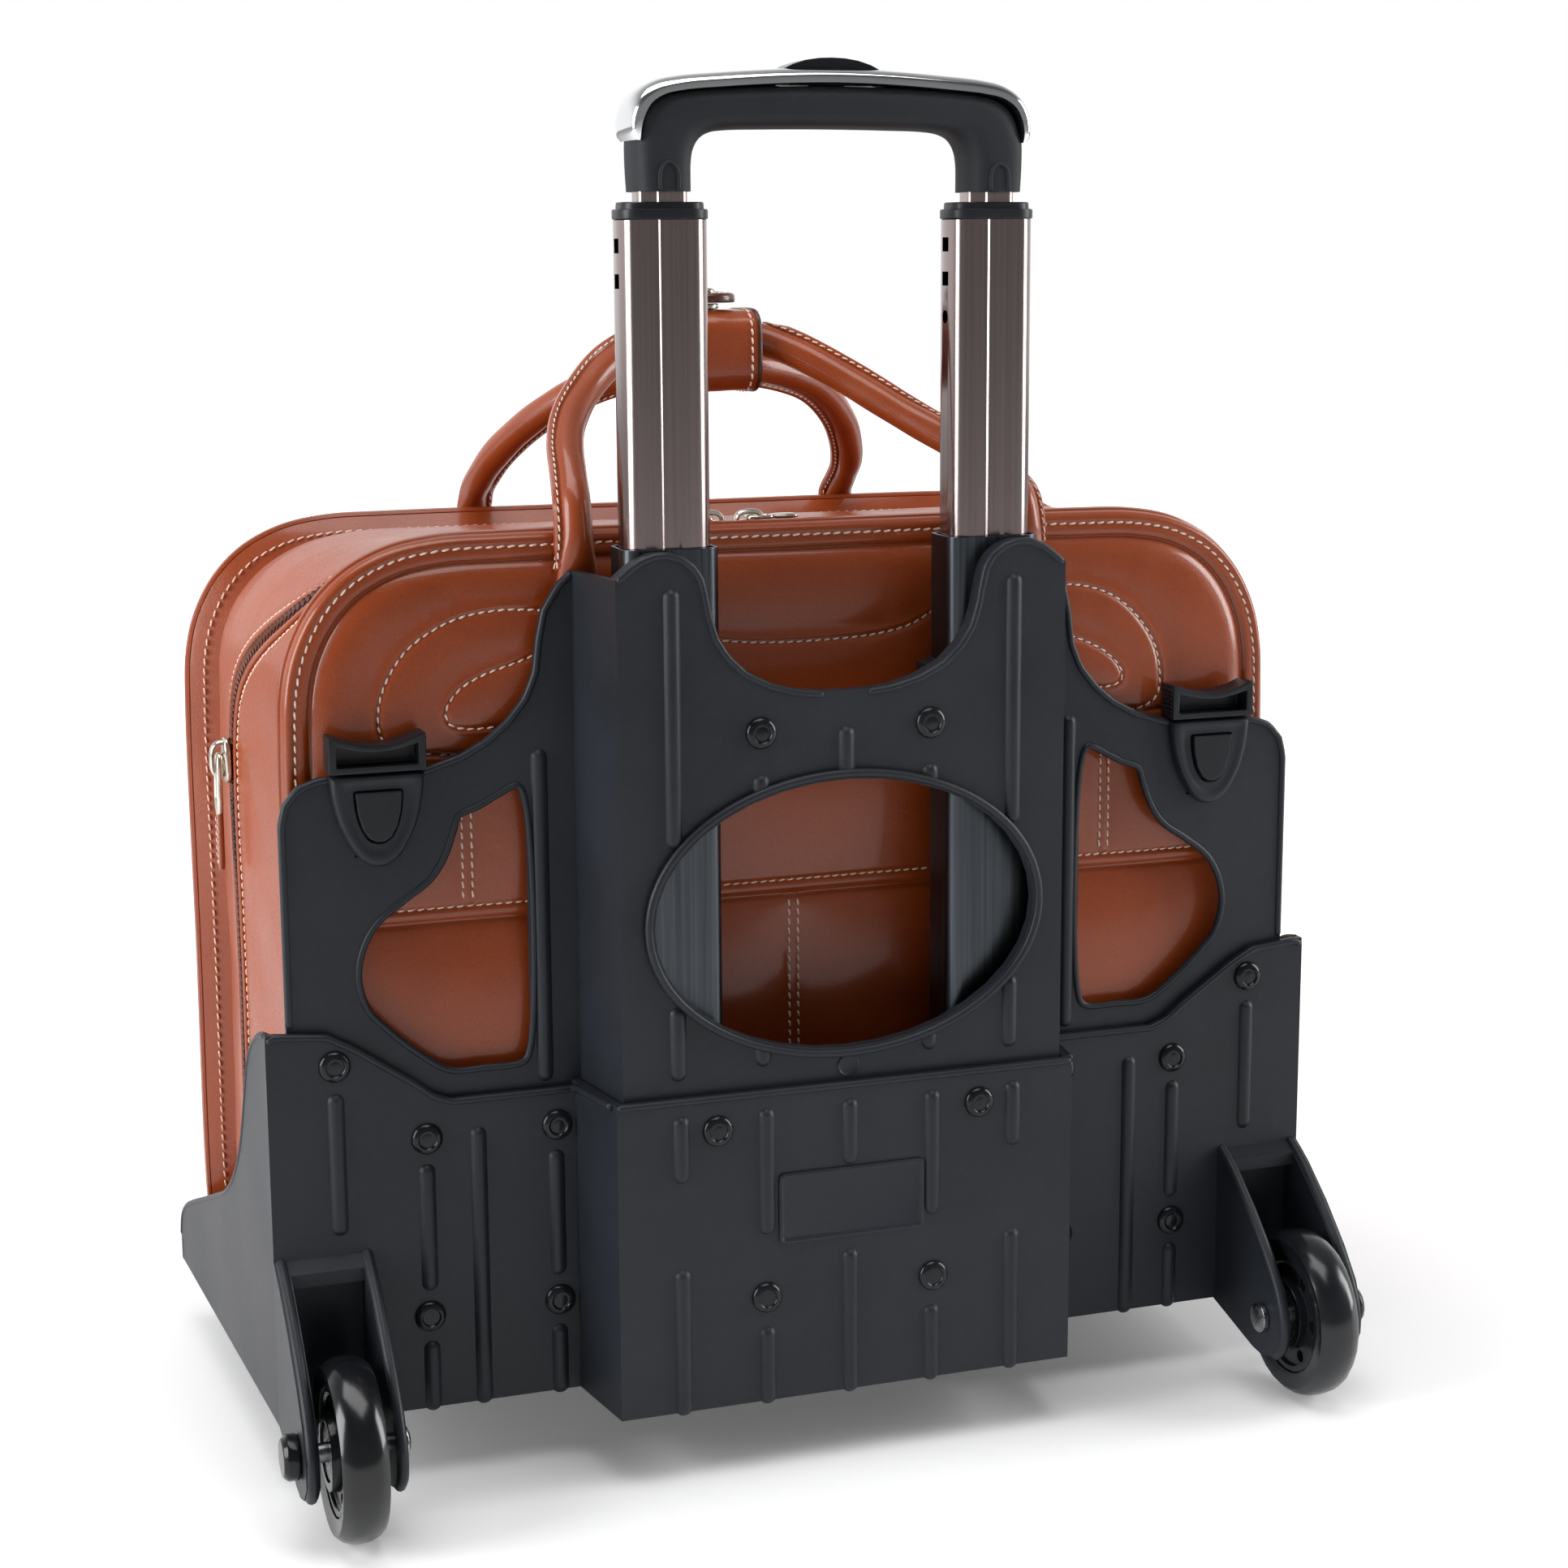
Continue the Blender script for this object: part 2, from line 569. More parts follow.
trim = B()
for s in (1, -1):
    q = inset2(LOWER, 1.1)
    path = [(s * x, -2.7, z) for x, z in polyline(q, 3.0)]
    path += [(s * (102.5 - 6.4 * k / 10), -2.7 - (39.9) * k / 10, 154.2 + 0.9 * k / 10) for k in range(1, 10)]
    bead(trim, path, 1.5, (0, -1, 0))
    # wing edge, from the lip forward and down to the front of the tray
    wing = [(0, 185.4), (10, 183.2), (21, 177.7), (32, 168.7), (41, 152.2), (52.7, 129.6), (63, 116.2), (77.8, 103.2), (95, 93.2), (116, 85), (145, 74.2), (176, 62.7), (190, 56.7), (200, 49.2), (204, 39)]
    bead(trim, [(s * (222.4 + 0.05 * y - 1.0), y, z) for y, z in spline(wing, 3.0)], 1.5, (0, 0, 1))
    q = inset2(FLANGE, 1.2)
    bead(trim, [(s * x, 0.75, z) for x, z in polyline(q, 3.0)], 1.5, (0, -1, 0))
    q = inset2(spline(WINDOW, 3.0, True), -1.2, True)
    bead(trim, [(s * x, 0.75, z) for x, z in q], 1.45, (0, -1, 0), True)
    bead(trim, [(s * x, -37.9, z) for x, z in inset2(polyline(LOBE[1:], 3.0), 1.2)], 1.5, (0, -1, 0))
    # outer edges of the fork arms
    arm = [(-1, 97), (-14, 89.5), (-30, 77), (-46, 62), (-56, 50), (-61.5, 38), (-61, 28), (-54, 20.5)]
    for x in (186.2, 219.7):
        bead(trim, [(s * x, y + 0.9, z - 0.6) for y, z in spline(arm, 3.0)], 2.5, (1, 0, 0), flat=0.96)
bead(trim, [(x, -41.9, 155.1) for x in np.linspace(-95.4, 95.4, 60)], 1.5, (0, 0, 1))
bead(trim, [(81.0 * math.cos(a), -40.2, 223.5 + 55.8 * math.sin(a)) for a in np.linspace(0, 2 * math.pi, 97)[:-1]], 1.75, (0, -1, 0), True)
trim.obj("trolley_edge_rims", PLASTIC, "trolley", "trolley_plastic")

ribs = B()
for s in (1, -1):
    for x, a, c in [(196.2, 160.6, 103.9), (161.6, 128.6, 77), (161.6, 56, 27.2), (140.9, 141.4, 27.2), (109.6, 128.6, 77), (109.6, 56, 27.2)]:
        rib(ribs, s * x, c, a, -3.0)
    rib(ribs, s * 112.4, 156.5, 289, 0.4)
    for x, a, c in [(69.8, 149.3, 122.6), (69.8, 87, 27.2), (34.9, 149, 97.6), (34.9, 59, 27.2)]:
        rib(ribs, s * x, c, a, -42.2)
    for x, a, c in [(70, 353.4, 254.5), (69.5, 192, 162.6), (34.9, 280.6, 272), (34.9, 174.5, 165)]:
        rib(ribs, s * x, c, a, -38.5)
for a, c in [(149.3, 122.6), (87, 27.2)]:
    rib(ribs, 0, c, a, -42.2)
rib(ribs, 0, 278, 297.4, -38.5)
ribs.obj("trolley_ribs", PLASTIC, "trolley", "trolley_plastic")

# blank moulded plate, the gate mark above it, and the seam of the label field
plate = B()
ring = []
for k, (inset, y) in enumerate([(0, -41.6), (0, -43.1), (0.9, -43.4), (1.5, -43.0), (2.1, -42.75)]):
    for sx, sz, a0 in ((1, 1, 0), (-1, 1, 90), (-1, -1, 180), (1, -1, 270)):
        for i in range(4):
            a = math.radians(a0 + 30 * i)
            rr = max(2.2 - inset * 0.6, 0.6)
            ring.append(P(0.4 + sx * (30.6 - inset - rr) + rr * math.cos(a), y, 107.4 + sz * (14.4 - inset - rr) + rr * math.sin(a)))
f = [(q * 16 + a, (q + 1) * 16 + a, (q + 1) * 16 + (a + 1) % 16, q * 16 + (a + 1) % 16) for q in range(4) for a in range(16)]
plate.add(ring, f + [tuple(range(16)), tuple(range(64, 80))[::-1]])
plate.obj("blank_plate", PLASTIC, "trolley", "trolley_plastic")


def lathe_y(b, x, y, z, prof, n=28):
    """A turned shape standing out towards -y. prof is (radius, y offset)."""
    v, f = [], []
    for r, dy in prof:
        for k in range(n):
            a = 2 * math.pi * k / n
            v.append(P(x + r * math.cos(a), y + dy, z + r * math.sin(a)))
    m = len(prof)
    for q in range(m - 1):
        for a in range(n):
            c = (a + 1) % n
            f.append((q * n + a, (q + 1) * n + a, (q + 1) * n + c, q * n + c))
    f.append(tuple(range(n)))
    f.append(tuple((m - 1) * n + a for a in range(n))[::-1])
    b.add(v, f)


HEAD = [(6.3, 0.6), (6.3, -0.35), (6.0, -1.1), (5.3, -1.75), (4.5, -2.15), (3.9, -2.25), (3.55, -1.95), (3.35, -1.55), (3.0, -1.45), (2.2, -1.6), (1.0, -1.72), (0.3, -1.75)]
n = 0
for s in (-1, 1):
    for x, y, z in [(196.2, -3, 171.6), (161.2, -3, 139), (109, -3, 139), (55, -42.2, 142.1)]:
        n += 1
        b = B()
        lathe_y(b, s * x, y, z, HEAD)
        lathe_y(b, s * x, y + (6.4 if y == -3 else 6.7), z, [(2.1, -3.0), (2.1, 0.3), (3.6, 0.35), (3.6, 1.0), (3.2, 1.4), (0.4, 1.4)], 16)
        o = b.obj(f"rivet_head_{n}", GLOSS, "trolley", "black_plastic")
        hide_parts(f"rivet_{n}")
b = B()
for s in (-1, 1):
    for x, y, z in [(161.9, -3, 66.4), (109.2, -3, 66.4), (35.4, -42.2, 71.6), (34.9, -38.5, 296.8)]:
        lathe_y(b, s * x, y, z, HEAD)
b.obj("rivet_heads_lower", GLOSS, "trolley", "black_plastic")
b = B()
lathe_y(b, 0.4, -38.5, 162, [(4.6, 0.4), (4.6, -0.35), (4.2, -0.55), (3.8, -0.3), (3.6, -0.2), (0.3, -0.25)], 24)
b.obj("gate_mark", PLASTIC, "trolley", "trolley_plastic")

# three fine contour lines on each cheek of the cradle
def cheek(y, z, s):
    return (s * (222.4 + 0.05 * y + 0.05), y, z)


lines = B()
NEST = [
    [(1, 180), (3, 165), (7, 148), (12, 133), (22, 119), (38, 106), (60, 93), (84, 83), (104, 76), (112, 72), (112, 66), (98, 58), (78, 50), (52, 41), (24, 33)],
    [(0.5, 160), (4, 146), (9, 131), (18, 116), (32, 103), (52, 90), (72, 80), (88, 73), (94, 69), (90, 63), (74, 55), (52, 46), (24, 37)],
    [(0.5, 140), (5, 127), (13, 113), (26, 99), (44, 86), (60, 77), (72, 70.5), (76, 66.5), (72, 61), (56, 52), (26, 41.5)],
]
for s in (-1, 1):
    for l in NEST:
        bead(lines, [tuple(np.array(cheek(y, z, s)) - (s * 0.45, 0, 0)) for y, z in spline(l, 3.0)], 0.55, (s, 0, 0), flat=0.7)
lines.obj("cheek_contour_lines", DARK, "trolley", "trolley_plastic")

# grip serrations on the inner side of each latch block
for s, side in ((-1, "left"), (1, "right")):
    b = B()
    x = s * 176 - s * 18.6
    for k in range(7):
        z = 286.6 + 1.78 * k
        bead(b, [(x, y, z) for y in np.linspace(-3.9, 5.6, 8)], 0.55, (0, 0, 1))
    o = b.obj(f"latch_serrations_{side}", DARK, f"latch_{side}", "black_plastic")

# sleeve collars at the head of the outer tubes, and the stay beside each tube
b = B()


def rrect(w, h, r, k=4):
    out = []
    for sx, sy, a0 in ((1, 1, 0), (-1, 1, 90), (-1, -1, 180), (1, -1, 270)):
        for i in range(k + 1):
            a = math.radians(a0 + 90 * i / k)
            out.append((sx * (w / 2 - r) + r * math.cos(a), sy * (h / 2 - r) + r * math.sin(a)))
    return out


def bm_fix(o):
    import bmesh

    bm = bmesh.new()
    bm.from_mesh(o.data)
    bmesh.ops.recalc_face_normals(bm, faces=bm.faces[:])
    bm.to_mesh(o.data)
    bm.free()
    o.data.update()


def ring_solid(b, cx, cy, levels):
    """Nested rounded rectangles joined in order: (w, h, r, z); the last joins the first."""
    v, f = [], []
    for w, h, r, z in levels:
        for x, y in rrect(w, h, r):
            v.append(P(cx + x, cy + y, z))
    n, m = 20, len(levels)
    for q in range(m):
        for a in range(n):
            c = (a + 1) % n
            f.append((q * n + a, q * n + c, ((q + 1) % m) * n + c, ((q + 1) % m) * n + a))
    b.add(v, f)


for s in (-1, 1):
    ring_solid(b, s * 66, -17, [(41.4, 29.4, 7, 302), (42, 30, 7, 303), (42, 30, 7, 315.5), (40.6, 28.6, 6.6, 318.2), (35.6, 23.6, 5.6, 318.2), (35.2, 23.2, 5.4, 316.9), (38.3, 26.3, 6.1, 316.7), (38.3, 26.3, 6.1, 302)])
    # stay that ties each tube head to the channel
    x0, x1 = sorted((s * 40.5, s * 46.5))
    for za, zb, dy in ((307, 317.2, 0), ):
        q = [(x0, -27), (x1, -27), (x1, -9), (x0, -9)]
        v = [P(x, y, z) for z in (za, zb) for x, y in q]
        b.add(v, [(0, 3, 2, 1), (4, 5, 6, 7), (0, 1, 5, 4), (1, 2, 6, 5), (2, 3, 7, 6), (3, 0, 4, 7)])
heads = b.obj("outer_tube_heads", DARK, "trolley", "black_plastic", mods=False)
bv = heads.modifiers.new("round", "BEVEL")
bv.width, bv.segments, bv.limit_method, bv.angle_limit = 0.0008, 3, "ANGLE", math.radians(40)
smooth_mod(heads)

# deep skirt behind the edge of the lobes and the saddle between them
b = B()
q = inset2(polyline(LOBE[1:], 2.5), 1.5)
full = [(x, z) for x, z in q] + [(-x, z) for x, z in q[::-1]]
full = np.array(full)
keep = [i for i in range(len(full)) if i == 0 or np.hypot(*(full[i] - full[i - 1])) > 0.2]
full = full[keep]
p = np.array([P(x, -33.6, z) for x, z in full])
sweep(b, p, [(-0.0044, -0.0012), (0.0035, -0.0012), (0.0042, -0.0005), (0.0042, 0.0006), (0.0035, 0.0012), (-0.0044, 0.0012)], np.stack([np.gradient(full[:, 1]), np.zeros(len(full)), -np.gradient(full[:, 0])], 1))
b.obj("lobe_skirt", PLASTIC, "trolley", "trolley_plastic")

# dished shields round the latch buttons
SHIELD = [(-18.2, 284.2), (-17.7, 277), (-16.4, 270), (-14.2, 263), (-11.2, 257), (-7.8, 252), (-4.0, 249), (0, 248), (4.0, 249), (7.8, 252), (11.2, 257), (14.2, 263), (16.4, 270), (17.7, 277), (18.2, 284.2)]
BUTTON = [(-9.4, 278.1), (-8.7, 270), (-7.0, 263.8), (-4.5, 259.5), (-1.7, 257.9), (1.7, 257.9), (4.5, 259.5), (7.0, 263.8), (8.7, 270), (9.4, 278.1)]


def by_angle(poly, cx, cz, n=96):
    """The outline of a convex-ish shape, met by rays from its middle."""
    a = np.array(poly, float)
    c = np.vstack([a, a[:1]])
    out = []
    for k in range(n):
        th = 2 * math.pi * (k + 0.5) / n
        d = np.array((math.cos(th), math.sin(th)))
        best = 0.0
        for i in range(len(a)):
            p0, p1 = c[i] - (cx, cz), c[i + 1] - (cx, cz)
            e = p1 - p0
            den = d[0] * e[1] - d[1] * e[0]
            if abs(den) < 1e-9:
                continue
            t = (p0[0] * e[1] - p0[1] * e[0]) / den
            u = (p0[0] * d[1] - p0[1] * d[0]) / den
            if t > 0 and -1e-6 <= u <= 1 + 1e-6:
                best = max(best, t)
        out.append((cx + d[0] * best, cz + d[1] * best))
    return np.array(out)


for s, side in ((-1, "left"), (1, "right")):
    o1, o2 = by_angle(spline(SHIELD, 1.0), 0, 269), by_angle(spline(BUTTON, 1.0), 0, 269)
    b = B()
    rings = []
    for t, y in [(0.0, 0.25), (0.0, -1.4), (0.03, -2.6), (0.1, -3.7), (0.2, -4.25), (0.36, -4.35), (0.55, -3.95), (0.75, -3.6), (0.9, -3.75), (0.96, -3.7), (1.0, -3.3), (1.0, 0.25)]:
        q = o1 * (1 - t) + o2 * t
        rings.append([P(x + s * 176, y, z) for x, z in q])
    n, m = 96, len(rings)
    f = [(q * n + a, q * n + (a + 1) % n, ((q + 1) % m) * n + (a + 1) % n, ((q + 1) % m) * n + a) for q in range(m) for a in range(n)]
    b.add(np.array(rings).reshape(-1, 3), f)
    o = b.obj(f"latch_shield_{side}", PLASTIC, "trolley", "trolley_plastic")
    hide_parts(f"latch_housing_{side}")

# fluted middle and inner tubes, with the real openings cut through them
def fluted(w, h, r, g=4.2, depth=0.9):
    out = []
    for x, y in rrect(w, h, r, 5):
        out.append((x, y))
    # shallow flute down the middle of the broad faces
    pts = []
    n = len(out)
    for i, (x, y) in enumerate(out):
        pts.append((x, y))
        nx, ny = out[(i + 1) % n]
        if abs(y - ny) < 1e-6 and abs(abs(y) - h / 2) < 1e-6:
            sx = 1 if nx > x else -1
            sy = 1 if y > 0 else -1
            for u, dd in [(-g - 1.2, 0), (-g - 0.5, 0.12), (-g, 0.45), (-g + 0.5, 0.8), (-g + 1.2, 1.0), (g - 1.2, 1.0), (g - 0.5, 0.8), (g, 0.45), (g + 0.5, 0.12), (g + 1.2, 0)]:
                pts.append((sx * u, y - sy * dd * depth))
    return pts


def tube_piece(name, node, body, w, h, r, wall, cx, z0, z1, mat, holes=(), g=4.2):
    b = B()
    outer, inner = fluted(w, h, r, g), fluted(w - 2 * wall, h - 2 * wall, max(r - wall, 1.0), g, 0.9)
    n = len(outer)
    levels = [(outer, 1.0, z0), (outer, 1.0, z1 - 0.3), (outer, (w - 0.5) / w, z1), (inner, (w - 2 * wall + 0.3) / (w - 2 * wall), z1), (inner, 1.0, z1 - 0.4), (inner, 1.0, z0)]
    v, f = [], []
    for ring, k, z in levels:
        for x, y in ring:
            v.append(P(cx + x * k, -17 + y * k, z))
    m = len(levels)
    for q in range(m):
        for a in range(n):
            c = (a + 1) % n
            f.append((q * n + a, q * n + c, ((q + 1) % m) * n + c, ((q + 1) % m) * n + a))
    b.add(v, f)
    o = b.obj(name, mat, None, "tube_anodised", mods=False)
    for i, cut in enumerate(holes):
        c = B()
        cut(c)
        k = c.obj(f"{name}_cut{i}", mat, None, mods=False)
        md = o.modifiers.new("cut", "BOOLEAN")
        md.operation, md.solver, md.object = "DIFFERENCE", "EXACT", k
        bpy.context.view_layer.objects.active = o
        with bpy.context.temp_override(object=o, active_object=o):
            bpy.ops.object.modifier_apply(modifier="cut")
        bpy.data.objects.remove(k)
    smooth_mod(o, True)
    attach(o, body)
    if node:
        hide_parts(node)
    return o


def box_cut(x0, x1, y0, y1, z0, z1):
    def make(b):
        v = [P(x, y, z) for z in (z0, z1) for y in (y0, y1) for x in (x0, x1)]
        b.add(v, [(0, 2, 3, 1), (4, 5, 7, 6), (0, 1, 5, 4), (2, 6, 7, 3), (0, 4, 6, 2), (1, 3, 7, 5)])
    return make


def round_cut(x0, x1, y, z, r):
    def make(b):
        v = [P(x, y + r * math.cos(a), z + r * math.sin(a)) for x in (x0, x1) for a in np.linspace(0, 2 * math.pi, 17)[:-1]]
        b.add(v, [(a, (a + 1) % 16, 16 + (a + 1) % 16, 16 + a) for a in range(16)] + [tuple(range(16))[::-1], tuple(range(16, 32))])
    return make


for s, side in ((-1, "left"), (1, "right")):
    cx = s * 66
    cuts = [box_cut(cx - 21, cx - 12, -20, -14, z - 2.7, z + 2.7) for z in (479.6, 466.6)]
    if s > 0:
        cuts.append(round_cut(cx - 21, cx - 12, -17, 452, 2.6))
    tube_piece(f"mid_tube_fluted_{side}", f"mid_tube_{side}", "handle_mid", 34, 22, 8.2, 1.4, cx, 158, 489.2, ALU, cuts, 3.4)
    c = B()
    ring_solid(c, cx, -17, [(34.6, 22.6, 8.4, 489.3), (35.0, 23.0, 8.6, 489.6), (35.0, 23.0, 8.6, 492.4), (34.4, 22.4, 8.4, 492.9), (32.2, 20.2, 7.4, 492.9), (31.9, 19.9, 7.2, 495.1), (31.2, 19.2, 7.0, 495.5), (20.6, 13.0, 3.7, 495.5), (20.4, 12.8, 3.6, 495.0), (20.4, 12.8, 3.6, 489.3)])
    o = c.obj(f"mid_collar_ring_{side}", DARK, None, "black_plastic", mods=False)
    smooth_mod(o)
    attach(o, "handle_mid")
    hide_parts(f"mid_collar_{side}")
    tube_piece(f"inner_tube_fluted_{side}", f"inner_tube_{side}", "handle_top", 19.6, 12, 3.4, 1.1, cx, 198, 506, ALU_IN, (), 2.4)

# soft grip: a full, rounded section swept round the bow, under the chrome crown
def strip(half):
    return half + [(-x, z) for x, z in half[::-1]]


def even(poly, n):
    p = np.array(poly, float)
    d = np.r_[0, np.cumsum(np.linalg.norm(np.diff(p, axis=0), axis=1))]
    s = np.linspace(0, d[-1], n)
    return np.stack([np.interp(s, d, p[:, k]) for k in (0, 1)], 1)


g_out = spline(strip([(77.6, 499.3), (78.0, 506), (78.2, 513), (78.0, 518.6), (76.6, 522), (74.9, 526.8), (71.3, 531.3), (65.5, 534.4), (58, 535.9), (45, 537.0), (25, 538.0), (8, 538.4)]), 1.0)
g_in = spline(strip([(55.3, 499.3), (55.3, 504), (55.2, 509), (54.4, 514), (52, 518.2), (47.6, 520.7), (40, 521.8), (25, 522.2), (8, 522.4)]), 1.0)
K = 120
b = B()
# pair the two edges so that legs, bends and bar line up
def marks(p, cuts):
    d = np.r_[0, np.cumsum(np.linalg.norm(np.diff(p, axis=0), axis=1))]
    out = []
    for a, c, n in cuts:
        out += list(np.linspace(a, c, n, endpoint=False))
    out.append(cuts[-1][1])
    s = np.array(out) * d[-1]
    return np.stack([np.interp(s, d, p[:, k]) for k in (0, 1)], 1)


go = marks(g_out, [(0, 0.085, 10), (0.085, 0.235, 22), (0.235, 0.765, 40), (0.765, 0.915, 22), (0.915, 1, 10)])
gi = marks(g_in, [(0, 0.07, 10), (0.07, 0.185, 22), (0.185, 0.815, 40), (0.815, 0.93, 22), (0.93, 1, 10)])
rings = []
ns = 28
for i in range(len(go)):
    c, h = (go[i] + gi[i]) / 2, (go[i] - gi[i]) / 2
    ring = []
    for k in range(ns):
        a = 2 * math.pi * (k + 0.5) / ns
        ca, sa = math.cos(a), math.sin(a)
        q = lambda v, e: math.copysign(abs(v) ** (2 / e), v)
        r = q(ca, 3.4)
        ring.append(P(c[0] + h[0] * r, -17 + 13 * q(sa, 2.7), c[1] + h[1] * r))
    rings.append(ring)
n, m = ns, len(rings)
f = [(q * n + a, q * n + (a + 1) % n, (q + 1) * n + (a + 1) % n, (q + 1) * n + a) for q in range(m - 1) for a in range(n)]
f += [tuple(range(n))[::-1], tuple((m - 1) * n + a for a in range(n))]
b.add(np.array(rings).reshape(-1, 3), f)
o = b.obj("grip_bow", SOFT, None, "grip_soft", mods=False)
bm_fix(o)


def cut_out(o, boxes):
    for i, q in enumerate(boxes):
        c = B()
        box_cut(*q)(c)
        k = c.obj(f"{o.name}_cut{i}", SOFT, None, mods=False)
        bm_fix(k)
        md = o.modifiers.new("cut", "BOOLEAN")
        md.operation, md.solver, md.object = "DIFFERENCE", "EXACT", k
        bpy.context.view_layer.objects.active = o
        with bpy.context.temp_override(object=o, active_object=o):
            bpy.ops.object.modifier_apply(modifier="cut")
        bpy.data.objects.remove(k)


# the pocket of the release button and the channels of its bar and rods
cut_out(o, [(-70, 70, -20.6, -13.4, 523.9, 532.6), (-6.6, 6.6, -20.6, -13.4, 530, 541), (-21.2, 21.2, -24.4, -9.6, 533.6, 545), (-68.9, -63.1, -19.9, -14.1, 498, 527), (63.1, 68.9, -19.9, -14.1, 498, 527)])
smooth_mod(o, True)
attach(o, "handle_top")
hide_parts("grip_body")

# chrome crown: a thin convex cap over the back of the bow
t_path = spline(strip([(78.0, 517.6), (77.9, 521.5), (76.8, 526.2), (73.6, 531.8), (68, 535.4), (60, 537.2), (45, 538.6), (25, 539.9), (8, 540.5)]), 1.5)
tn = normals_open = np.stack([np.gradient(t_path[:, 1]), -np.gradient(t_path[:, 0])], 1)
tn = tn / np.linalg.norm(tn, axis=1, keepdims=True)
if tn[len(tn) // 2][1] < 0:
    tn = -tn
along = np.r_[0, np.cumsum(np.linalg.norm(np.diff(t_path, axis=0), axis=1))]
end = np.clip(np.minimum(along, along[-1] - along) / 16.0, 0, 1)
end = np.sqrt(np.clip(1 - (1 - end) ** 2, 0, 1))
b = B()
rings = []
for i in range(len(t_path)):
    k = end[i]
    hy = 11.2 + 2.2 * k
    tk = 0.5 + 3.8 * k
    ring = []
    for a in np.linspace(0, math.pi, 19):
        ca, sa = math.cos(a), math.sin(a)
        y = -17 + hy * math.copysign(abs(ca) ** 0.75, ca)
        h = -1.6 + (tk + 1.6) * sa ** 0.62
        ring.append(P(t_path[i][0] + tn[i][0] * h, y, t_path[i][1] + tn[i][1] * h))
    for yy in (-17 - hy * 0.86, -17 - hy * 0.4, -17, -17 + hy * 0.4, -17 + hy * 0.86):
        h = -2.0
        ring.append(P(t_path[i][0] + tn[i][0] * h, yy, t_path[i][1] + tn[i][1] * h))
    rings.append(ring)
n, m = len(rings[0]), len(rings)
f = [(q * n + a, q * n + (a + 1) % n, (q + 1) * n + (a + 1) % n, (q + 1) * n + a) for q in range(m - 1) for a in range(n)]
f += [tuple(range(n))[::-1], tuple((m - 1) * n + a for a in range(n))]
b.add(np.array(rings).reshape(-1, 3), f)
o = b.obj("grip_crown", CHROME, None, "grip_chrome", mods=False)
bm_fix(o)
cut_out(o, [(-21.2, 21.2, -24.4, -9.6, 530, 560)])
smooth_mod(o, True)
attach(o, "handle_top")
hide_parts("grip_trim")

# arch-shaped reliefs at the foot of each grip leg, and the mould line under the trim
b = B()
for s in (-1, 1):
    cx = s * 66
    arch = [(cx - 3.6, 499.8), (cx - 3.6, 505), (cx - 3.0, 507.6), (cx - 1.6, 509.3), (cx, 509.9), (cx + 1.6, 509.3), (cx + 3.0, 507.6), (cx + 3.6, 505), (cx + 3.6, 499.8)]
    for y, u in ((-29.9, -1), (-4.1, 1)):
        bead(b, [(x, y, z) for x, z in spline(arch, 0.8)], 0.7, (0, u, 0))
b.obj("grip_leg_reliefs", SOFT, "handle_top", "grip_soft")

# ------------------------------------------------------------------------ bag
def bag_half(w, t, b=32.0):
    d = t - 371.5
    return [(w - 22, b), (w - 8, b + 5), (w - 1.5, b + 16), (w, b + 30), (w, 180), (w, 290 + d), (w - 1.2, 314 + d), (w - 5, 330 + d), (w - 13.5, 346 + d), (w - 26, 358.5 + d), (w - 43, 367 + d), (w - 62, 370.7 + d), (w - 90, 371.5 + d)]


NU = 420


def outline(w, t, n=NU):
    """Closed outline from the bottom centre, up the +x side, over the top and down the -x side."""
    h = bag_half(w, t)
    pts = [(0, 32.0)] + h + [(0, t)]
    full = pts + [(-x, z) for x, z in h[::-1]]
    p = spline(full, 1.0, True, 16)
    # start exactly at the bottom centre
    k = int(np.argmin(np.abs(p[:, 0]) + 10 * np.abs(p[:, 1] - 32.0)))
    p = np.roll(p, -k, 0)
    d = np.r_[0, np.cumsum(np.linalg.norm(np.diff(np.vstack([p, p[:1]]), axis=0), axis=1))]
    q = np.vstack([p, p[:1]])
    s = np.linspace(0, d[-1], n + 1)[:-1]
    return np.stack([np.interp(s, d, q[:, 0]), np.interp(s, d, q[:, 1])], 1)


def normals2(p):
    """Outward normals of an outline that runs anticlockwise seen from -y with +x right."""
    t = tangents(p, True)
    return np.stack([t[:, 1], -t[:, 0]], 1)


def seg_dist(q, line, closed=False):
    """Distance of many points to a polyline, with the arc position of the closest point."""
    a = np.array(line, float)
    c = np.vstack([a[1:], a[:1]]) if closed else a[1:]
    a = a if closed else a[:-1]
    best = np.full(len(q), 1e9)
    for i in range(len(a)):
        ab = c[i] - a[i]
        t = np.clip(((q - a[i]) @ ab) / max(ab @ ab, 1e-12), 0, 1)
        d = np.linalg.norm(q - (a[i] + t[:, None] * ab), axis=1)
        best = np.minimum(best, d)
    return best


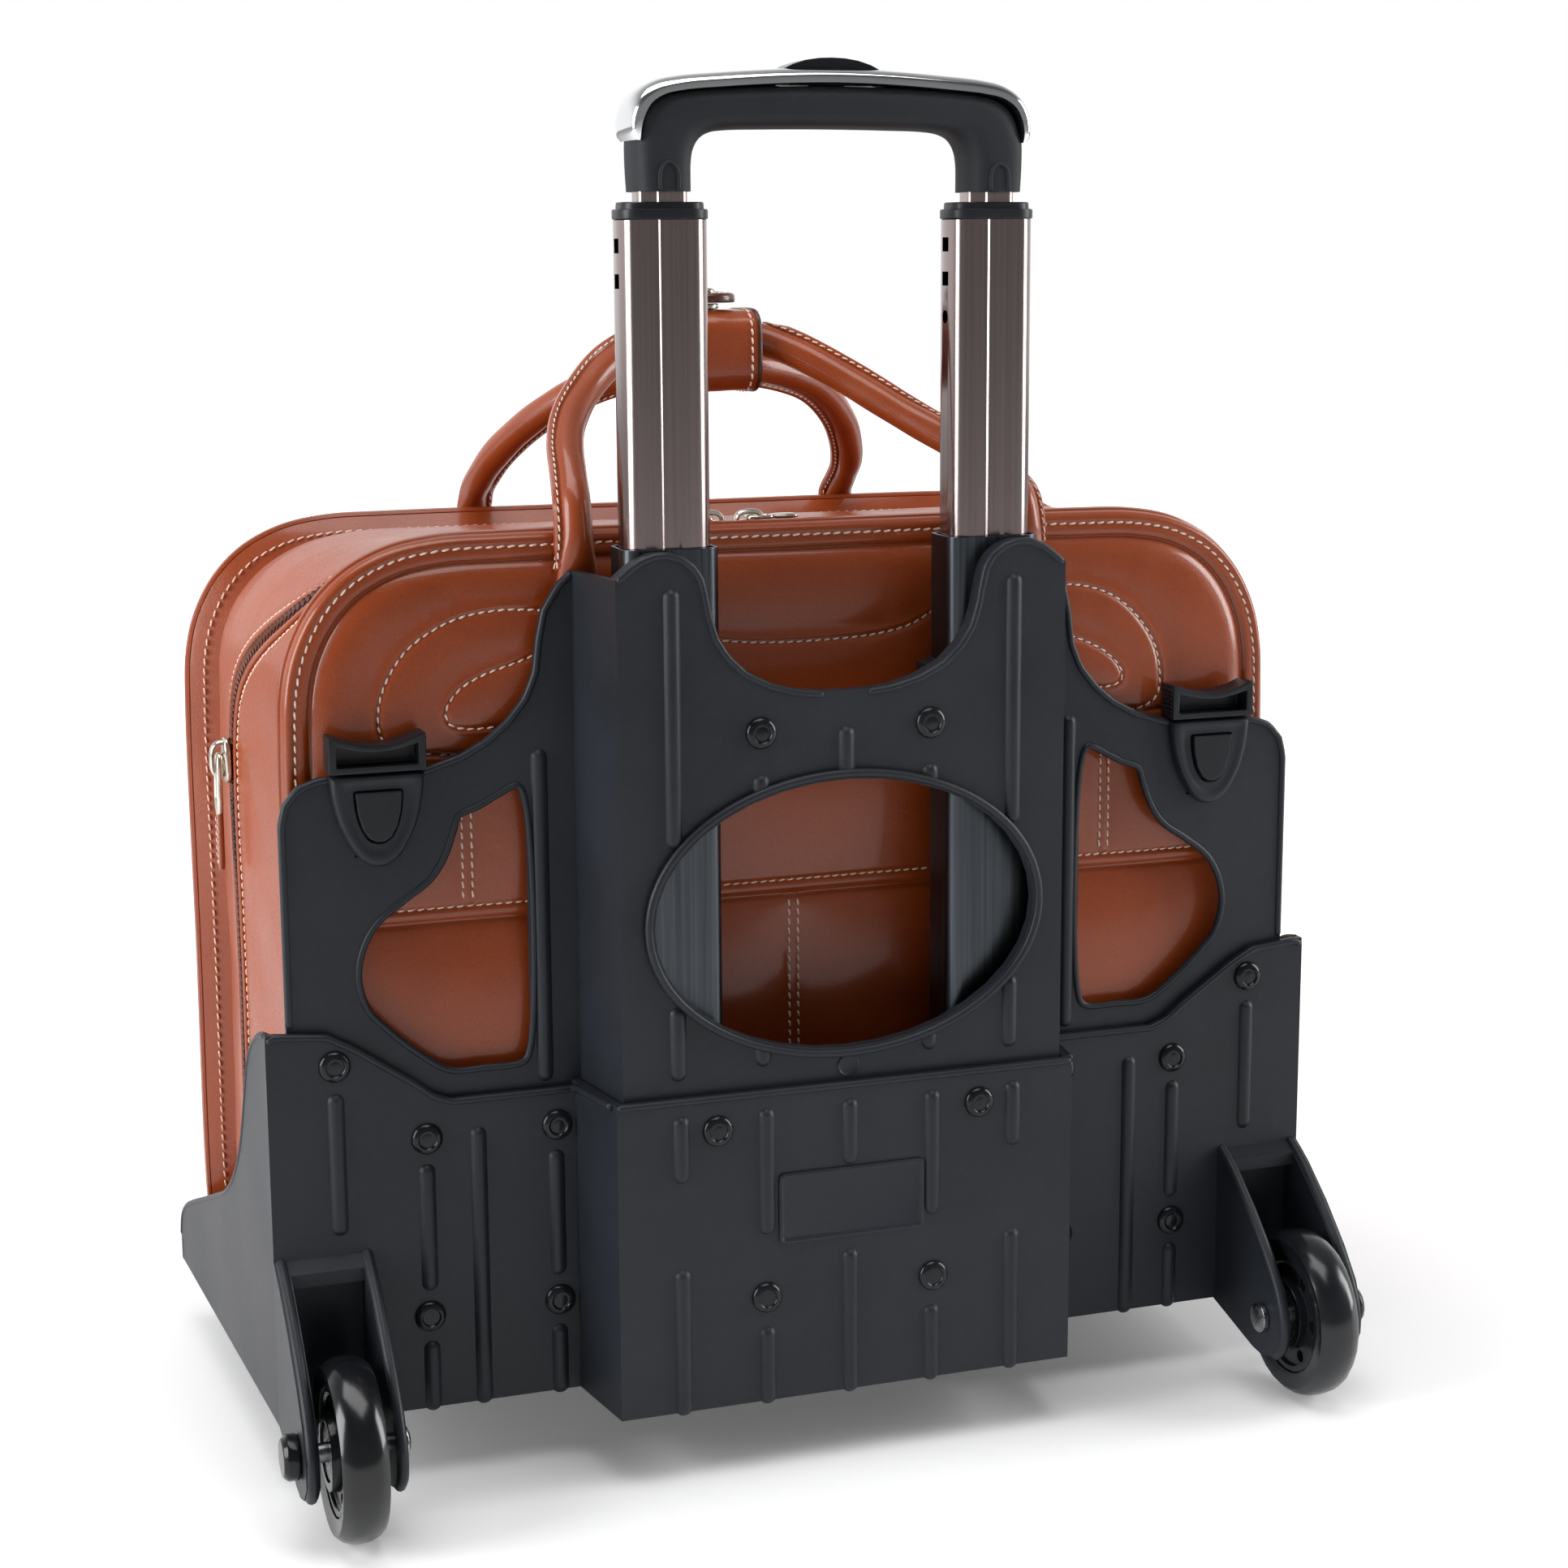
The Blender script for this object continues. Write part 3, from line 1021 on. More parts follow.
def panel_mesh(w, t, rings, grid, lines, offsets):
    """Points and triangles over a panel outline: rings near its edge, a grid inside, and rows along each seam."""
    base = outline(w, t)
    nrm = normals2(base)
    loops, pts = [], []
    for d in rings:
        k = base - nrm * d
        loops.append((len(pts), len(k)))
        pts.extend(map(tuple, k))
    inner = base - nrm * rings[-1]
    xs = np.arange(-w, w + grid, grid)
    zs = np.arange(32, t + grid, grid)
    gx, gz = np.meshgrid(xs, zs)
    gx = gx + (np.arange(len(zs)) % 2)[:, None] * grid / 2
    g = np.stack([gx.ravel(), gz.ravel()], 1)
    from_edge = seg_dist(g, base[::3], True)
    inside = (from_edge > rings[-1] + grid * 0.55) & (np.abs(g[:, 0]) < w) & (g[:, 1] < t) & (g[:, 1] > 32)
    g = g[inside]
    extra = []
    for ln, step in lines:
        p = polyline(ln, step)
        tt = tangents(p, False)
        nn = np.stack([-tt[:, 1], tt[:, 0]], 1)
        for o in offsets:
            e = p + nn * o
            if extra:
                prev = np.vstack(extra)
                keep = [np.min(np.hypot(*(prev - x).T)) > 0.55 for x in e]
                e = e[keep]
            e = e[(np.abs(e[:, 0]) < w - 5)]
            if len(e):
                de = seg_dist(e, base[::3], True)
                e = e[de > rings[-1] + 0.8]
            if len(e):
                extra.append(e)
    if extra:
        ex = np.vstack(extra)
        keep = np.ones(len(g), bool)
        for i0 in range(0, len(g), 500):
            dd = np.linalg.norm(g[i0 : i0 + 500, None] - ex[None], axis=2).min(1)
            keep[i0 : i0 + 500] = dd > grid * 0.5
        g = np.vstack([g[keep], ex])
    pts = np.vstack([np.array(pts), g])
    edges = []
    for o, k in loops:
        edges += [(o + i, o + (i + 1) % k) for i in range(k)]
    res = delaunay_2d_cdt([Vector(p) for p in pts], edges, [], 1, 1e-5)
    v = np.array([tuple(p) for p in res[0]])
    f = [tuple(x) for x in res[2]]
    return v, f, base


def ridge(d, w):
    return np.exp(-((d / w) ** 2))


def step_up(x, w):
    return 1 / (1 + np.exp(-x / w))


ARCH = [(-150, 288), (-162, 289.2), (-169, 292), (-172.3, 299), (-170.8, 312.7), (-162, 327.5), (-151.1, 335.6), (-139.2, 340.5), (-124, 342.6), (-109.5, 342), (-88, 340.5), (-70, 339), (-58, 336.8), (-51, 332), (-43, 328), (-30, 325.6), (-12, 324.4), (8.8, 324.4), (29.7, 325.6), (44.8, 328.6), (53.3, 332.8), (60, 337.2), (74, 340), (92, 341.5), (113.5, 342.1), (125.2, 340.6), (137.6, 335.6), (149, 325.5), (156, 314.3), (158.5, 301.5), (157, 293), (150, 288.8), (138, 288)]
LEAF_L = [(-84, 297.4), (-122.5, 297.4), (-139.2, 297.4), (-145, 299.4), (-146.4, 304.5), (-141.4, 312.2), (-131.6, 317.8), (-118.4, 322), (-109.9, 325), (-98, 328.5), (-84, 330)]
LEAF_R = [(84, 298.6), (121.8, 298.6), (134, 298.6), (139.8, 300.6), (140.2, 305), (134.6, 311.7), (125.6, 317.2), (113.7, 321.5), (98, 325.6), (84, 328)]
HSEAM = [(-188, 287.6), (0, 287.6), (188, 287.6)]
POCKET = [(-192, 227.2), (192, 227.2)]
VL = [(-139.4, 286), (-139.4, 229)]
VR = [(133.4, 286), (133.4, 229)]
VM = [(-4.5, 221), (-4.5, 50)]
arch, leaf_l, leaf_r = spline(ARCH, 2.5), spline(LEAF_L, 2.5), spline(LEAF_R, 2.5)

EDGE_RINGS = [0.0, 0.4, 1.2, 2.4, 3.8, 4.8, 6.0, 7.8, 9.2, 9.8, 10.4, 11.2, 12.8, 15.5, 19.0]


def edge_profile(d):
    """Height of the stitched edge band over the seam line, by distance from the edge, in mm."""
    x = [0, 0.4, 1.2, 2.4, 3.8, 4.8, 6.0, 7.8, 9.2, 9.8, 10.4, 11.2, 12.8, 15.5, 21, 36]
    y = [-2.6, -0.6, 0.75, 1.55, 1.35, 0.95, 1.35, 1.5, 1.15, 0.1, -0.55, 0.3, 0.9, 1.2, 1.5, 1.6]
    return np.interp(d, x, y)


def simulate(v, f, pins, pressure, cap, name):
    """Inflates the leather between its seams with a cloth simulation and returns the outward rise of each point in mm."""
    me = bpy.data.meshes.new(name)
    me.from_pydata([(x / 1000, 0, z / 1000) for x, z in v], [], f)
    me.update()
    o = bpy.data.objects.new(name, me)
    bpy.context.scene.collection.objects.link(o)
    g = o.vertex_groups.new(name="pin")
    for i, w in enumerate(pins):
        if w > 0.01:
            g.add([i], float(w), "REPLACE")
    m = o.modifiers.new("cloth", "CLOTH")
    s = m.settings
    s.quality = 6
    s.mass = 0.35
    s.tension_stiffness = s.compression_stiffness = 18
    s.shear_stiffness = 8
    s.bending_stiffness = 2.5
    s.use_pressure = True
    s.uniform_pressure_force = pressure
    s.vertex_group_mass = "pin"
    s.pin_stiffness = 1.0
    s.effector_weights.gravity = 0
    m.collision_settings.use_collision = False
    m.point_cache.frame_start, m.point_cache.frame_end = 1, 20
    sc = bpy.context.scene
    for k in range(1, 21):
        sc.frame_set(k)
    dg = bpy.context.evaluated_depsgraph_get()
    e = o.evaluated_get(dg).to_mesh()
    h = np.abs(np.array([p.co.y for p in e.vertices])) * 1000
    o.evaluated_get(dg).to_mesh_clear()
    sc.frame_set(1)
    bpy.data.objects.remove(o)
    bpy.data.meshes.remove(me)
    h = h[: len(v)]
    top = np.percentile(h, 99)
    print(f"{name}: {len(v)} points, rise {h.max():.2f} mm, 99% {top:.2f} mm")
    return cap * np.tanh(h / max(top, 1e-6) * 1.25) / math.tanh(1.25)


def rise_map(w, t, seams, cap, name):
    """Rise of a padded panel as (triangulated points, heights), simulated, or shaped by distance when trying things."""
    rings = [0.0, 3.6, 7.2, 10.2, 14.5]
    v, f, base = panel_mesh(w, t, rings, 6.5, [(l, 5.0) for l in seams], (0.0,))
    d = seg_dist(v, base[::3], True)
    near = np.min([seg_dist(v, l) for l in seams], axis=0) if seams else np.full(len(v), 1e3)
    pins = np.maximum(np.where(d < 10.6, 1.0, 0.0), np.where(near < 0.4, 1.0, 0.0))
    return v, f, simulate(v, f, pins, 4.0, cap, name)


def sample(vf, q):
    v, f, h = vf
    tree = BVHTree.FromPolygons([Vector((x, y, z)) for (x, z), y in zip(v, h)], f)
    out = np.zeros(len(q))
    for i, (x, z) in enumerate(q):
        hit = tree.ray_cast(Vector((x, 1000, z)), Vector((0, -1, 0)))
        out[i] = hit[0].y if hit[0] is not None else 0.0
    return out


def wobble(x, z, k=1.0, seed=0.0):
    """Slow unevenness of hand-made leather work, in mm."""
    return k * (0.5 * np.sin(x * 0.031 + z * 0.017 + seed) + 0.32 * np.sin(x * 0.073 - z * 0.052 + 1.7 + seed) + 0.2 * np.sin(x * 0.021 + z * 0.121 + 0.6 + seed))


def back_height(v, base, rise):
    d = seg_dist(v, base, True)
    h = edge_profile(d)
    inner = np.clip((d - 10.4) / 5.0, 0, 1)
    h = h + rise * inner
    da, dl, dr = seg_dist(v, arch), seg_dist(v, leaf_l), seg_dist(v, leaf_r)
    # pieces laid on top of each other: the shield over the panel, the leaves sewn in, the pocket edge
    from_poly = np.array([poly_side(p, arch) for p in v])
    h += 0.85 * step_up(np.where(from_poly, da, -da) + 2.2, 0.28) * inner
    for dd, pl in ((dl, leaf_l), (dr, leaf_r)):
        ins = np.array([poly_side(p, pl) for p in v])
        h += 0.7 * step_up(np.where(ins, dd, -dd) + 2.0, 0.28) * (np.abs(v[:, 0]) > 84)
        h -= 0.75 * ridge(dd, 0.95)
    h -= 0.8 * ridge(da, 1.0)
    z = v[:, 1]
    h += 1.5 * step_up(z - 222.4, 0.3) * inner
    h -= 0.8 * ridge(z - 227.2, 0.95) * inner
    h -= 0.9 * ridge(z - 221.2, 1.3) * inner
    hs = seg_dist(v, HSEAM)
    h -= 0.7 * ridge(hs, 0.9) * inner
    for l in (VL, VR, VM):
        dd = seg_dist(v, l)
        h += 0.45 * ridge(dd, 2.6) * inner
        h -= 0.55 * ridge(np.abs(dd - 1.9), 0.6) * inner
    h += wobble(v[:, 0], z, 0.32) * inner
    return h


def poly_side(p, poly):
    """True if the point lies inside the loop that closes the polyline."""
    x, z = p
    a = poly
    b = np.roll(poly, -1, 0)
    cond = (a[:, 1] > z) != (b[:, 1] > z)
    with np.errstate(divide="ignore", invalid="ignore"):
        xs = (b[:, 0] - a[:, 0]) * (z - a[:, 1]) / (b[:, 1] - a[:, 1]) + a[:, 0]
    return bool(np.count_nonzero(cond & (x < xs)) % 2)


class Skin:
    """A leather panel: y = y0 + sign * height over its outline."""

    def __init__(s, name, node, w, t, y0, y_back, sign, height, seams, grid, cap, mat, fill):
        s.w, s.t, s.y0, s.sign = w, t, y0, sign
        rise = rise_map(w, t, seams, cap, name + "_sim")
        offs = (-3.4, -2.2, -1.3, -0.6, 0.0, 0.6, 1.3, 2.2, 3.4)
        v, f, base = panel_mesh(w, t, EDGE_RINGS, grid, [(l, 2.4) for l in seams], offs)
        s.base = base
        h = height(v, base, sample(rise, v))
        s.v, s.f, s.h = v, f, h
        s.tree = BVHTree.FromPolygons([Vector((x, y, z)) for (x, z), y in zip(v, h)], f)
        b = B()
        top = np.array([P(x, y0 + sign * k, z) for (x, z), k in zip(v, h)])
        d = seg_dist(v, base, True)
        rim = []
        # the outer loop in order
        for p in base:
            rim.append(int(np.argmin(np.hypot(v[:, 0] - p[0], v[:, 1] - p[1]))))
        faces = [x if sign < 0 else x[::-1] for x in orient(f, v)]
        nv = len(v)
        k = len(rim)
        nrm = normals2(base)
        wall = []
        for inset, y in ((0.0, y_back + (y0 - y_back) * 0.35), (0.9, y_back)):
            wall.append([P(p[0] - n2[0] * inset, y, p[1] - n2[1] * inset) for p, n2 in zip(base, nrm)])
        allv = np.vstack([top, np.array(wall[0]), np.array(wall[1])])
        side = []
        for i in range(k):
            j = (i + 1) % k
            a, c = rim[i], rim[j]
            q = [(a, nv + i, nv + j, c), (nv + i, nv + k + i, nv + k + j, nv + j)]
            side += [x if sign < 0 else x[::-1] for x in q]
        cap_face = tuple(nv + k + i for i in range(k))
        side.append(cap_face[::-1] if sign < 0 else cap_face)
        b.add(allv, faces + [x[::-1] for x in side] if False else faces + side)
        o = b.obj(name, mat, None, "leather", mods=False)
        bm_fix(o)
        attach(o, "bag")
        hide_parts(node)
        s.o = o

    def at(s, x, z):
        hit = s.tree.ray_cast(Vector((x, 1000, z)), Vector((0, -1, 0)))
        h = hit[0].y if hit[0] is not None else 0.0
        return P(x, s.y0 + s.sign * h, z)

    def stitch(s, b, line, **k):
        p = np.array([s.at(x, z) for x, z in line])
        stitches(b, p, (0, s.sign, 0), **k)


def orient(f, v):
    out = []
    for t in f:
        a, b, c = (v[i] for i in t[:3])
        area = (b[0] - a[0]) * (c[1] - a[1]) - (b[1] - a[1]) * (c[0] - a[0])
        out.append(tuple(t) if area > 0 else tuple(t)[::-1])
    return out


SEAMS_BACK = [arch, leaf_l, leaf_r, polyline(HSEAM, 2.5), polyline(POCKET, 2.5), polyline([(-192, 222.0), (192, 222.0)], 2.5), polyline(VL, 2.5), polyline(VR, 2.5), polyline(VM, 2.5)]
GRID = 3.4
back = Skin("bag_back_panel", "back_panel", 209, 371.5, 13.4, 22.0, -1, back_height, SEAMS_BACK, GRID, 5.0, LEATHER, 0.4)

# front of the bag: the same edge, a gusseted pocket with a flap line, kept simple
F_ARCH = [(-150, 236), (-150, 262), (-140, 284), (-118, 297), (-80, 302), (0, 303), (80, 302), (118, 297), (140, 284), (150, 262), (150, 236)]
F_POCKET = [(-192, 236), (192, 236)]
f_arch = spline(F_ARCH, 2.5)
SEAMS_FRONT = [f_arch, polyline(F_POCKET, 2.5), polyline([(-192, 231.0), (192, 231.0)], 2.5), polyline([(-120, 229), (-120, 50)], 2.5), polyline([(120, 229), (120, 50)], 2.5)]


def front_height(v, base, rise):
    d = seg_dist(v, base, True)
    inner = np.clip((d - 10.4) / 5.0, 0, 1)
    h = edge_profile(d) + rise * inner
    z = v[:, 1]
    h += 1.5 * (1 - step_up(z - 231.2, 0.3)) * inner
    h -= 0.8 * ridge(z - 226.2, 0.95) * inner
    h -= 0.7 * ridge(seg_dist(v, f_arch), 1.0) * inner
    for x in (-120, 120):
        dd = seg_dist(v, [(x, 226), (x, 50)])
        h -= 0.55 * ridge(np.abs(dd - 1.9), 0.6) * inner
    return h + wobble(v[:, 0], z, 0.3, 2.0) * inner


front = Skin("bag_front_panel", "front_panel", 221, 365, 194.6, 186.0, 1, front_height, SEAMS_FRONT, 4.2, 3.4, LEATHER, 0.4)

thread_b = B()
nb = normals2(back.base)
edge_b = back.base - nb * 4.8
top_half = [tuple(p) for p in np.roll(edge_b, 0, 0) if p[1] > 60]
k0 = [i for i, p in enumerate(edge_b) if p[1] > 60]
back.stitch(thread_b, [tuple(edge_b[i]) for i in k0], pitch=4.3, length=3.3)
back.stitch(thread_b, arch, pitch=3.9)
back.stitch(thread_b, leaf_l, pitch=3.9)
back.stitch(thread_b, leaf_r, pitch=3.9)
for a, c in ((-192, -173), (-150, 140), (159, 192)):
    back.stitch(thread_b, polyline([(a, 287.6), (c, 287.6)], 2), pitch=3.9)
back.stitch(thread_b, polyline(POCKET, 2), pitch=3.9)
for x, z0, z1 in ((-139.4, 286, 228.5), (133.4, 286, 228.5), (-4.5, 220.5, 50)):
    for o in (-1.9, 1.9):
        back.stitch(thread_b, polyline([(x + o, z0), (x + o, z1)], 2), pitch=3.9)
nf = normals2(front.base)
edge_f = front.base - nf * 4.8
kf = [i for i, p in enumerate(edge_f) if p[1] > 60]
front.stitch(thread_b, [tuple(edge_f[i]) for i in kf], pitch=4.3, length=3.3)
front.stitch(thread_b, f_arch)
front.stitch(thread_b, polyline([(-192, 226.2), (192, 226.2)], 2))
for x in (-120, 120):
    for o in (-1.9, 1.9):
        front.stitch(thread_b, polyline([(x + o, 225), (x + o, 50)], 2))

# ------------------------------------------------------------------ gusset
def lerp_w(y):
    return 209 + 12 * (y - 22) / 164


def lerp_t(y):
    return 371.5 - 6.5 * (y - 22) / 164


def g_inset(y):
    """How far the side wall lies inside the panel outlines: it draws in towards the front edge."""
    return np.interp(y, [22, 26, 34, 60, 100, 118, 135, 150, 162, 172, 180, 186], [6.5, 5.0, 4.4, 4.1, 4.0, 4.2, 4.7, 6.0, 8.0, 10.6, 13.0, 14.4])


OUTLINES = {}


def g_outline(y):
    k = round(y, 3)
    if k not in OUTLINES:
        p = outline(lerp_w(y), lerp_t(y))
        OUTLINES[k] = (p, normals2(p))
    return OUTLINES[k]


ZIP_PATH = [(58, 120), (120, 120), (200, 120), (262, 120), (280, 118), (296, 112), (309, 101), (320, 86), (330, 68), (339, 51), (348, 38.5), (357, 31), (364, 28)]
_zl = spline([(z, y) for z, y in ZIP_PATH], 2.0)


def zip_distance(x, y, z):
    """Distance from the line of the main zip, which runs up each side and back along the top."""
    q = np.stack([z, y], 1)
    side = seg_dist(q, _zl[::3])
    top = np.abs(y - 27.0)
    return np.where(z > 362, np.minimum(top, side), side)


def build_gusset():
    ys = np.unique(np.round(np.concatenate([[22.35, 23.5, 25.5], np.linspace(28, 176, 50), [179, 182, 184, 185.65]]), 3))
    rows = []
    for y in ys:
        p, nrm = g_outline(y)
        ins = g_inset(y)
        q = p - nrm * ins
        yy = np.full(len(p), y)
        arc = np.arange(len(p)) / len(p)
        dz = zip_distance(q[:, 0], yy, q[:, 1])
        lift = -0.55 * ridge(dz - 6.0, 1.2) - 0.35 * (dz < 4.5)
        # soft pull between the two edges, with a few slack folds low down and at the shoulders
        slack = 0.55 * np.sin(q[:, 1] * 0.047 + y * 0.02) + 0.35 * np.sin(q[:, 1] * 0.11 - y * 0.06 + 1.1) + 0.25 * np.sin(q[:, 0] * 0.07 + y * 0.09)
        env = math.sin(math.pi * np.clip((y - 24) / 160, 0, 1)) ** 0.7
        shoulder = ridge(q[:, 1] - 335, 34) * 2.2 * env
        slack = slack * np.clip((dz - 7.0) / 22.0, 0.0, 1.0)
        q = q + nrm * ((lift + slack * env * 0.8 + shoulder * 0.6))[:, None]
        # welt seams just inside each panel
        q = q - nrm * (0.8 * ridge(y - 178.0, 1.4) + 0.0)
        rows.append(np.stack([q[:, 0], yy, q[:, 1]], 1))
    inner = []
    for y in (185.65, 150, 100, 60, 22.35):
        p, nrm = g_outline(y)
        q = p - nrm * (g_inset(y) + 3.6)
        inner.append(np.stack([q[:, 0], np.full(len(p), y), q[:, 1]], 1))
    rings = rows + inner
    n, m = NU, len(rings)
    v = np.vstack(rings)
    f = []
    for q in range(m):
        r = (q + 1) % m
        for a in range(n):
            c = (a + 1) % n
            f.append((q * n + a, q * n + c, r * n + c, r * n + a))
    b = B()
    b.add(np.array([P(*x) for x in v]), f)
    o = b.obj("bag_gusset_leather", LEATHER_IN, None, "leather", mods=False)
    bm_fix(o)
    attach(o, "bag")
    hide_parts("gusset")
    tree = BVHTree.FromPolygons([Vector(P(*x)) for x in v], f)
    return o, tree


gusset, gtree = build_gusset()


def on_gusset(x, y, z, side=0):
    """The point of the gusset's outer face at (y, z) on a side (-1 or 1), or at (x, y) on top (0), and its normal."""
    if side:
        o = Vector(P(side * 400, y, z))
        hit = gtree.ray_cast(o, Vector((-side, 0, 0)))
    else:
        hit = gtree.ray_cast(Vector(P(x, y, 500)), Vector((0, 0, -1)))
    if hit[0] is None:
        hit = gtree.find_nearest(Vector(P(x if not side else side * lerp_w(y), y, z)))
    nrm = np.array(hit[1])
    want = np.array((side, 0, 0) if side else (0, 0, 1), float)
    if nrm @ want < 0:
        nrm = -nrm
    return np.array(hit[0]), nrm


# the zip line over both sides and the top as points with normals
def zip_line():
    pts = []
    for z, y in _zl:
        if z < 352:
            pts.append(on_gusset(0, y, z, -1))
    # round the shoulder by outline position
    y_top = 27.0
    last = None
    for y in [y_top]:
        p, nrm = g_outline(y)
        left = [i for i in range(NU) if p[i][0] < 0 and p[i][1] > 330]
        right = [i for i in range(NU) if p[i][0] >= 0 and p[i][1] > 330]
        order = left[::-1] + right[::-1]
    zz = np.array([q[0][2] * 1000 for q in pts])
    out = list(pts)
    idx = [i for i in order]
    # left shoulder upwards, across, and down the right shoulder
    run = []
    for i in idx:
        x, z = p[i] - nrm[i] * g_inset(y_top)
        run.append((i, x, z))
    ys = lambda z: float(np.interp(z, _zl[:, 0], _zl[:, 1])) if z < 364 else 27.0
    for i, x, z in run:
        if z < 352.5:
            continue
        y = max(ys(z), 27.0) if z < 364 else 27.0
        near = gtree.find_nearest(Vector(P(x, y, z)))
        nn = np.array((nrm[i][0], 0, nrm[i][1]))
        out.append((np.array(near[0]), nn))
    for z, y in _zl[::-1]:
        if z < 352:
            out.append(on_gusset(0, y, z, 1))
    a = np.array([q[0] for q in out])
    nn = np.array([q[1] for q in out])
    return a, nn


zp, zn = zip_line()
_d = np.r_[0, np.cumsum(np.linalg.norm(np.diff(zp, axis=0), axis=1))]
_s = np.arange(0, _d[-1], 0.002)
zp = np.stack([np.interp(_s, _d, zp[:, k]) for k in range(3)], 1)
zn = unit(np.stack([np.interp(_s, _d, zn[:, k]) for k in range(3)], 1))
for _ in range(6):
    zp[1:-1] = (zp[:-2] + 2 * zp[1:-1] + zp[2:]) / 4
    zn[1:-1] = unit((zn[:-2] + 2 * zn[1:-1] + zn[2:]) / 4)
zt = tangents(zp, False)
zw = unit(np.cross(zn, zt))

b = B()
sweep(b, zp + zn * 0.0003, [(-0.0040, -0.0006), (0.0040, -0.0006), (0.0040, 0.0001), (0.0028, 0.0005), (-0.0028, 0.0005), (-0.0040, 0.0001)], zn)
b.obj("zip_tape", TAPE, "bag", "lining")
b = B()
for sgn in (-1, 1):
    sweep(b, zp + zn * 0.0004 + zw * sgn * 0.0050, [(-0.0013, -0.0009), (0.0013, -0.0009), (0.0013, 0.0004), (0.0007, 0.0010), (-0.0007, 0.0010), (-0.0013, 0.0004)], zn)
b.obj("zip_tape_folds", LEATHER_IN, "bag", "leather")
b = B()
d = np.arange(0.0006, _s[-1], 0.00165)
for i, s0 in enumerate(d):
    at = lambda q: np.array([np.interp(s0, _s, q[:, k]) for k in range(3)])
    c, nn, tt = at(zp), unit(at(zn)), unit(at(zt))
    w = unit(np.cross(nn, tt))
    sgn = 1 if i % 2 else -1
    o = c + nn * 0.0010 + w * sgn * 0.0009
    hw, ht, hh = 0.0021, 0.00056, 0.0010
    vv = []
    for a, e in ((-1, 0.55), (-0.35, 1.0), (0.35, 1.0), (1, 0.55)):
        for y, z in ((-1, -1), (1, -1), (1, 0.4), (0, 1), (-1, 0.4)):
            vv.append(o + w * a * hw + tt * y * ht * e + nn * z * hh * e)
    ff = [(q * 5 + a, q * 5 + (a + 1) % 5, (q + 1) * 5 + (a + 1) % 5, (q + 1) * 5 + a) for q in range(3) for a in range(5)]
    b.add(vv, ff + [(4, 3, 2, 1, 0), (15, 16, 17, 18, 19)])
b.obj("zip_teeth", TEETH, "bag", "lining")
for sgn in (-1, 1):
    q = zp + zw * sgn * 0.0082
    stick = []
    for p0, n0 in zip(q[::2], zn[::2]):
        hit = gtree.find_nearest(Vector(p0))
        stick.append(np.array(hit[0]))
    stitches(thread_b, np.array(stick), zn[::2], pitch=3.7, length=2.9)

# stitch rows of the gusset beside the front panel, seen from behind, and the panel's inner edge band
for off, y in ((7.0, 185.8),):
    p, nrm = g_outline(186)
    q = p - nrm * off
    k = [i for i in range(NU) if q[i][1] > 60]
    stitches(thread_b, np.array([P(q[i][0], 186.0, q[i][1]) for i in k]), (0, -1, 0), pitch=4.3, length=3.3)

# piping that closes both panel edges
b = B()
for sk, y in ((back, 19.2), (front, 188.2)):
    p = sk.base - normals2(sk.base) * 0.35
    sweep(b, np.array([P(x, y, z) for x, z in p]), circle(0.0016, 8, 0.0022), (0, 1, 0), True)
b.obj("bag_edge_binding", LEATHER, "bag", "leather")
b = B()
for sk, y in ((back, 22.1),):
    p = sk.base - normals2(sk.base) * 1.0
    sweep(b, np.array([P(x, y, z) for x, z in p]), circle(0.0007, 6), (0, 1, 0), True)
b.obj("bag_edge_paint", LEATHER_DARK, "bag", "leather")

# ------------------------------------------------------------------ handles
H_BACK = [(-94, 7.6, 322), (-94, 7.4, 345), (-94, 6.2, 360), (-94, 6.0, 372), (-93.6, 10, 383), (-92, 20, 392), (-89.5, 34, 401), (-84, 49, 411), (-74, 63.5, 421.5), (-61, 75.5, 432), (-45, 84, 439.4), (-32, 88.8, 442.4), (-14, 90, 443.2), (4, 89.7, 442.6), (20, 84, 437), (40, 71, 425), (60, 54, 410.5), (77, 37, 398.5), (88, 22, 388.5), (93.4, 11, 380), (94, 6.2, 368), (94, 7.0, 352), (94, 7.6, 322)]
H_FRONT = [(-90, 201.2, 318), (-90, 201.4, 340), (-90, 201, 358), (-90, 196.5, 371), (-89, 183, 381), (-85, 168, 392), (-76, 150, 405), (-64, 132, 416.5), (-48, 115, 425.4), (-32, 105.4, 429.8), (-14, 103.5, 430.6), (4, 104, 430.2), (24, 111, 427.4), (44, 122, 421), (62, 140, 409), (74, 158, 396), (81, 174, 384), (83.5, 187, 376), (84, 196.5, 368), (84, 201, 356), (84, 201.4, 338), (84, 201.2, 318)]


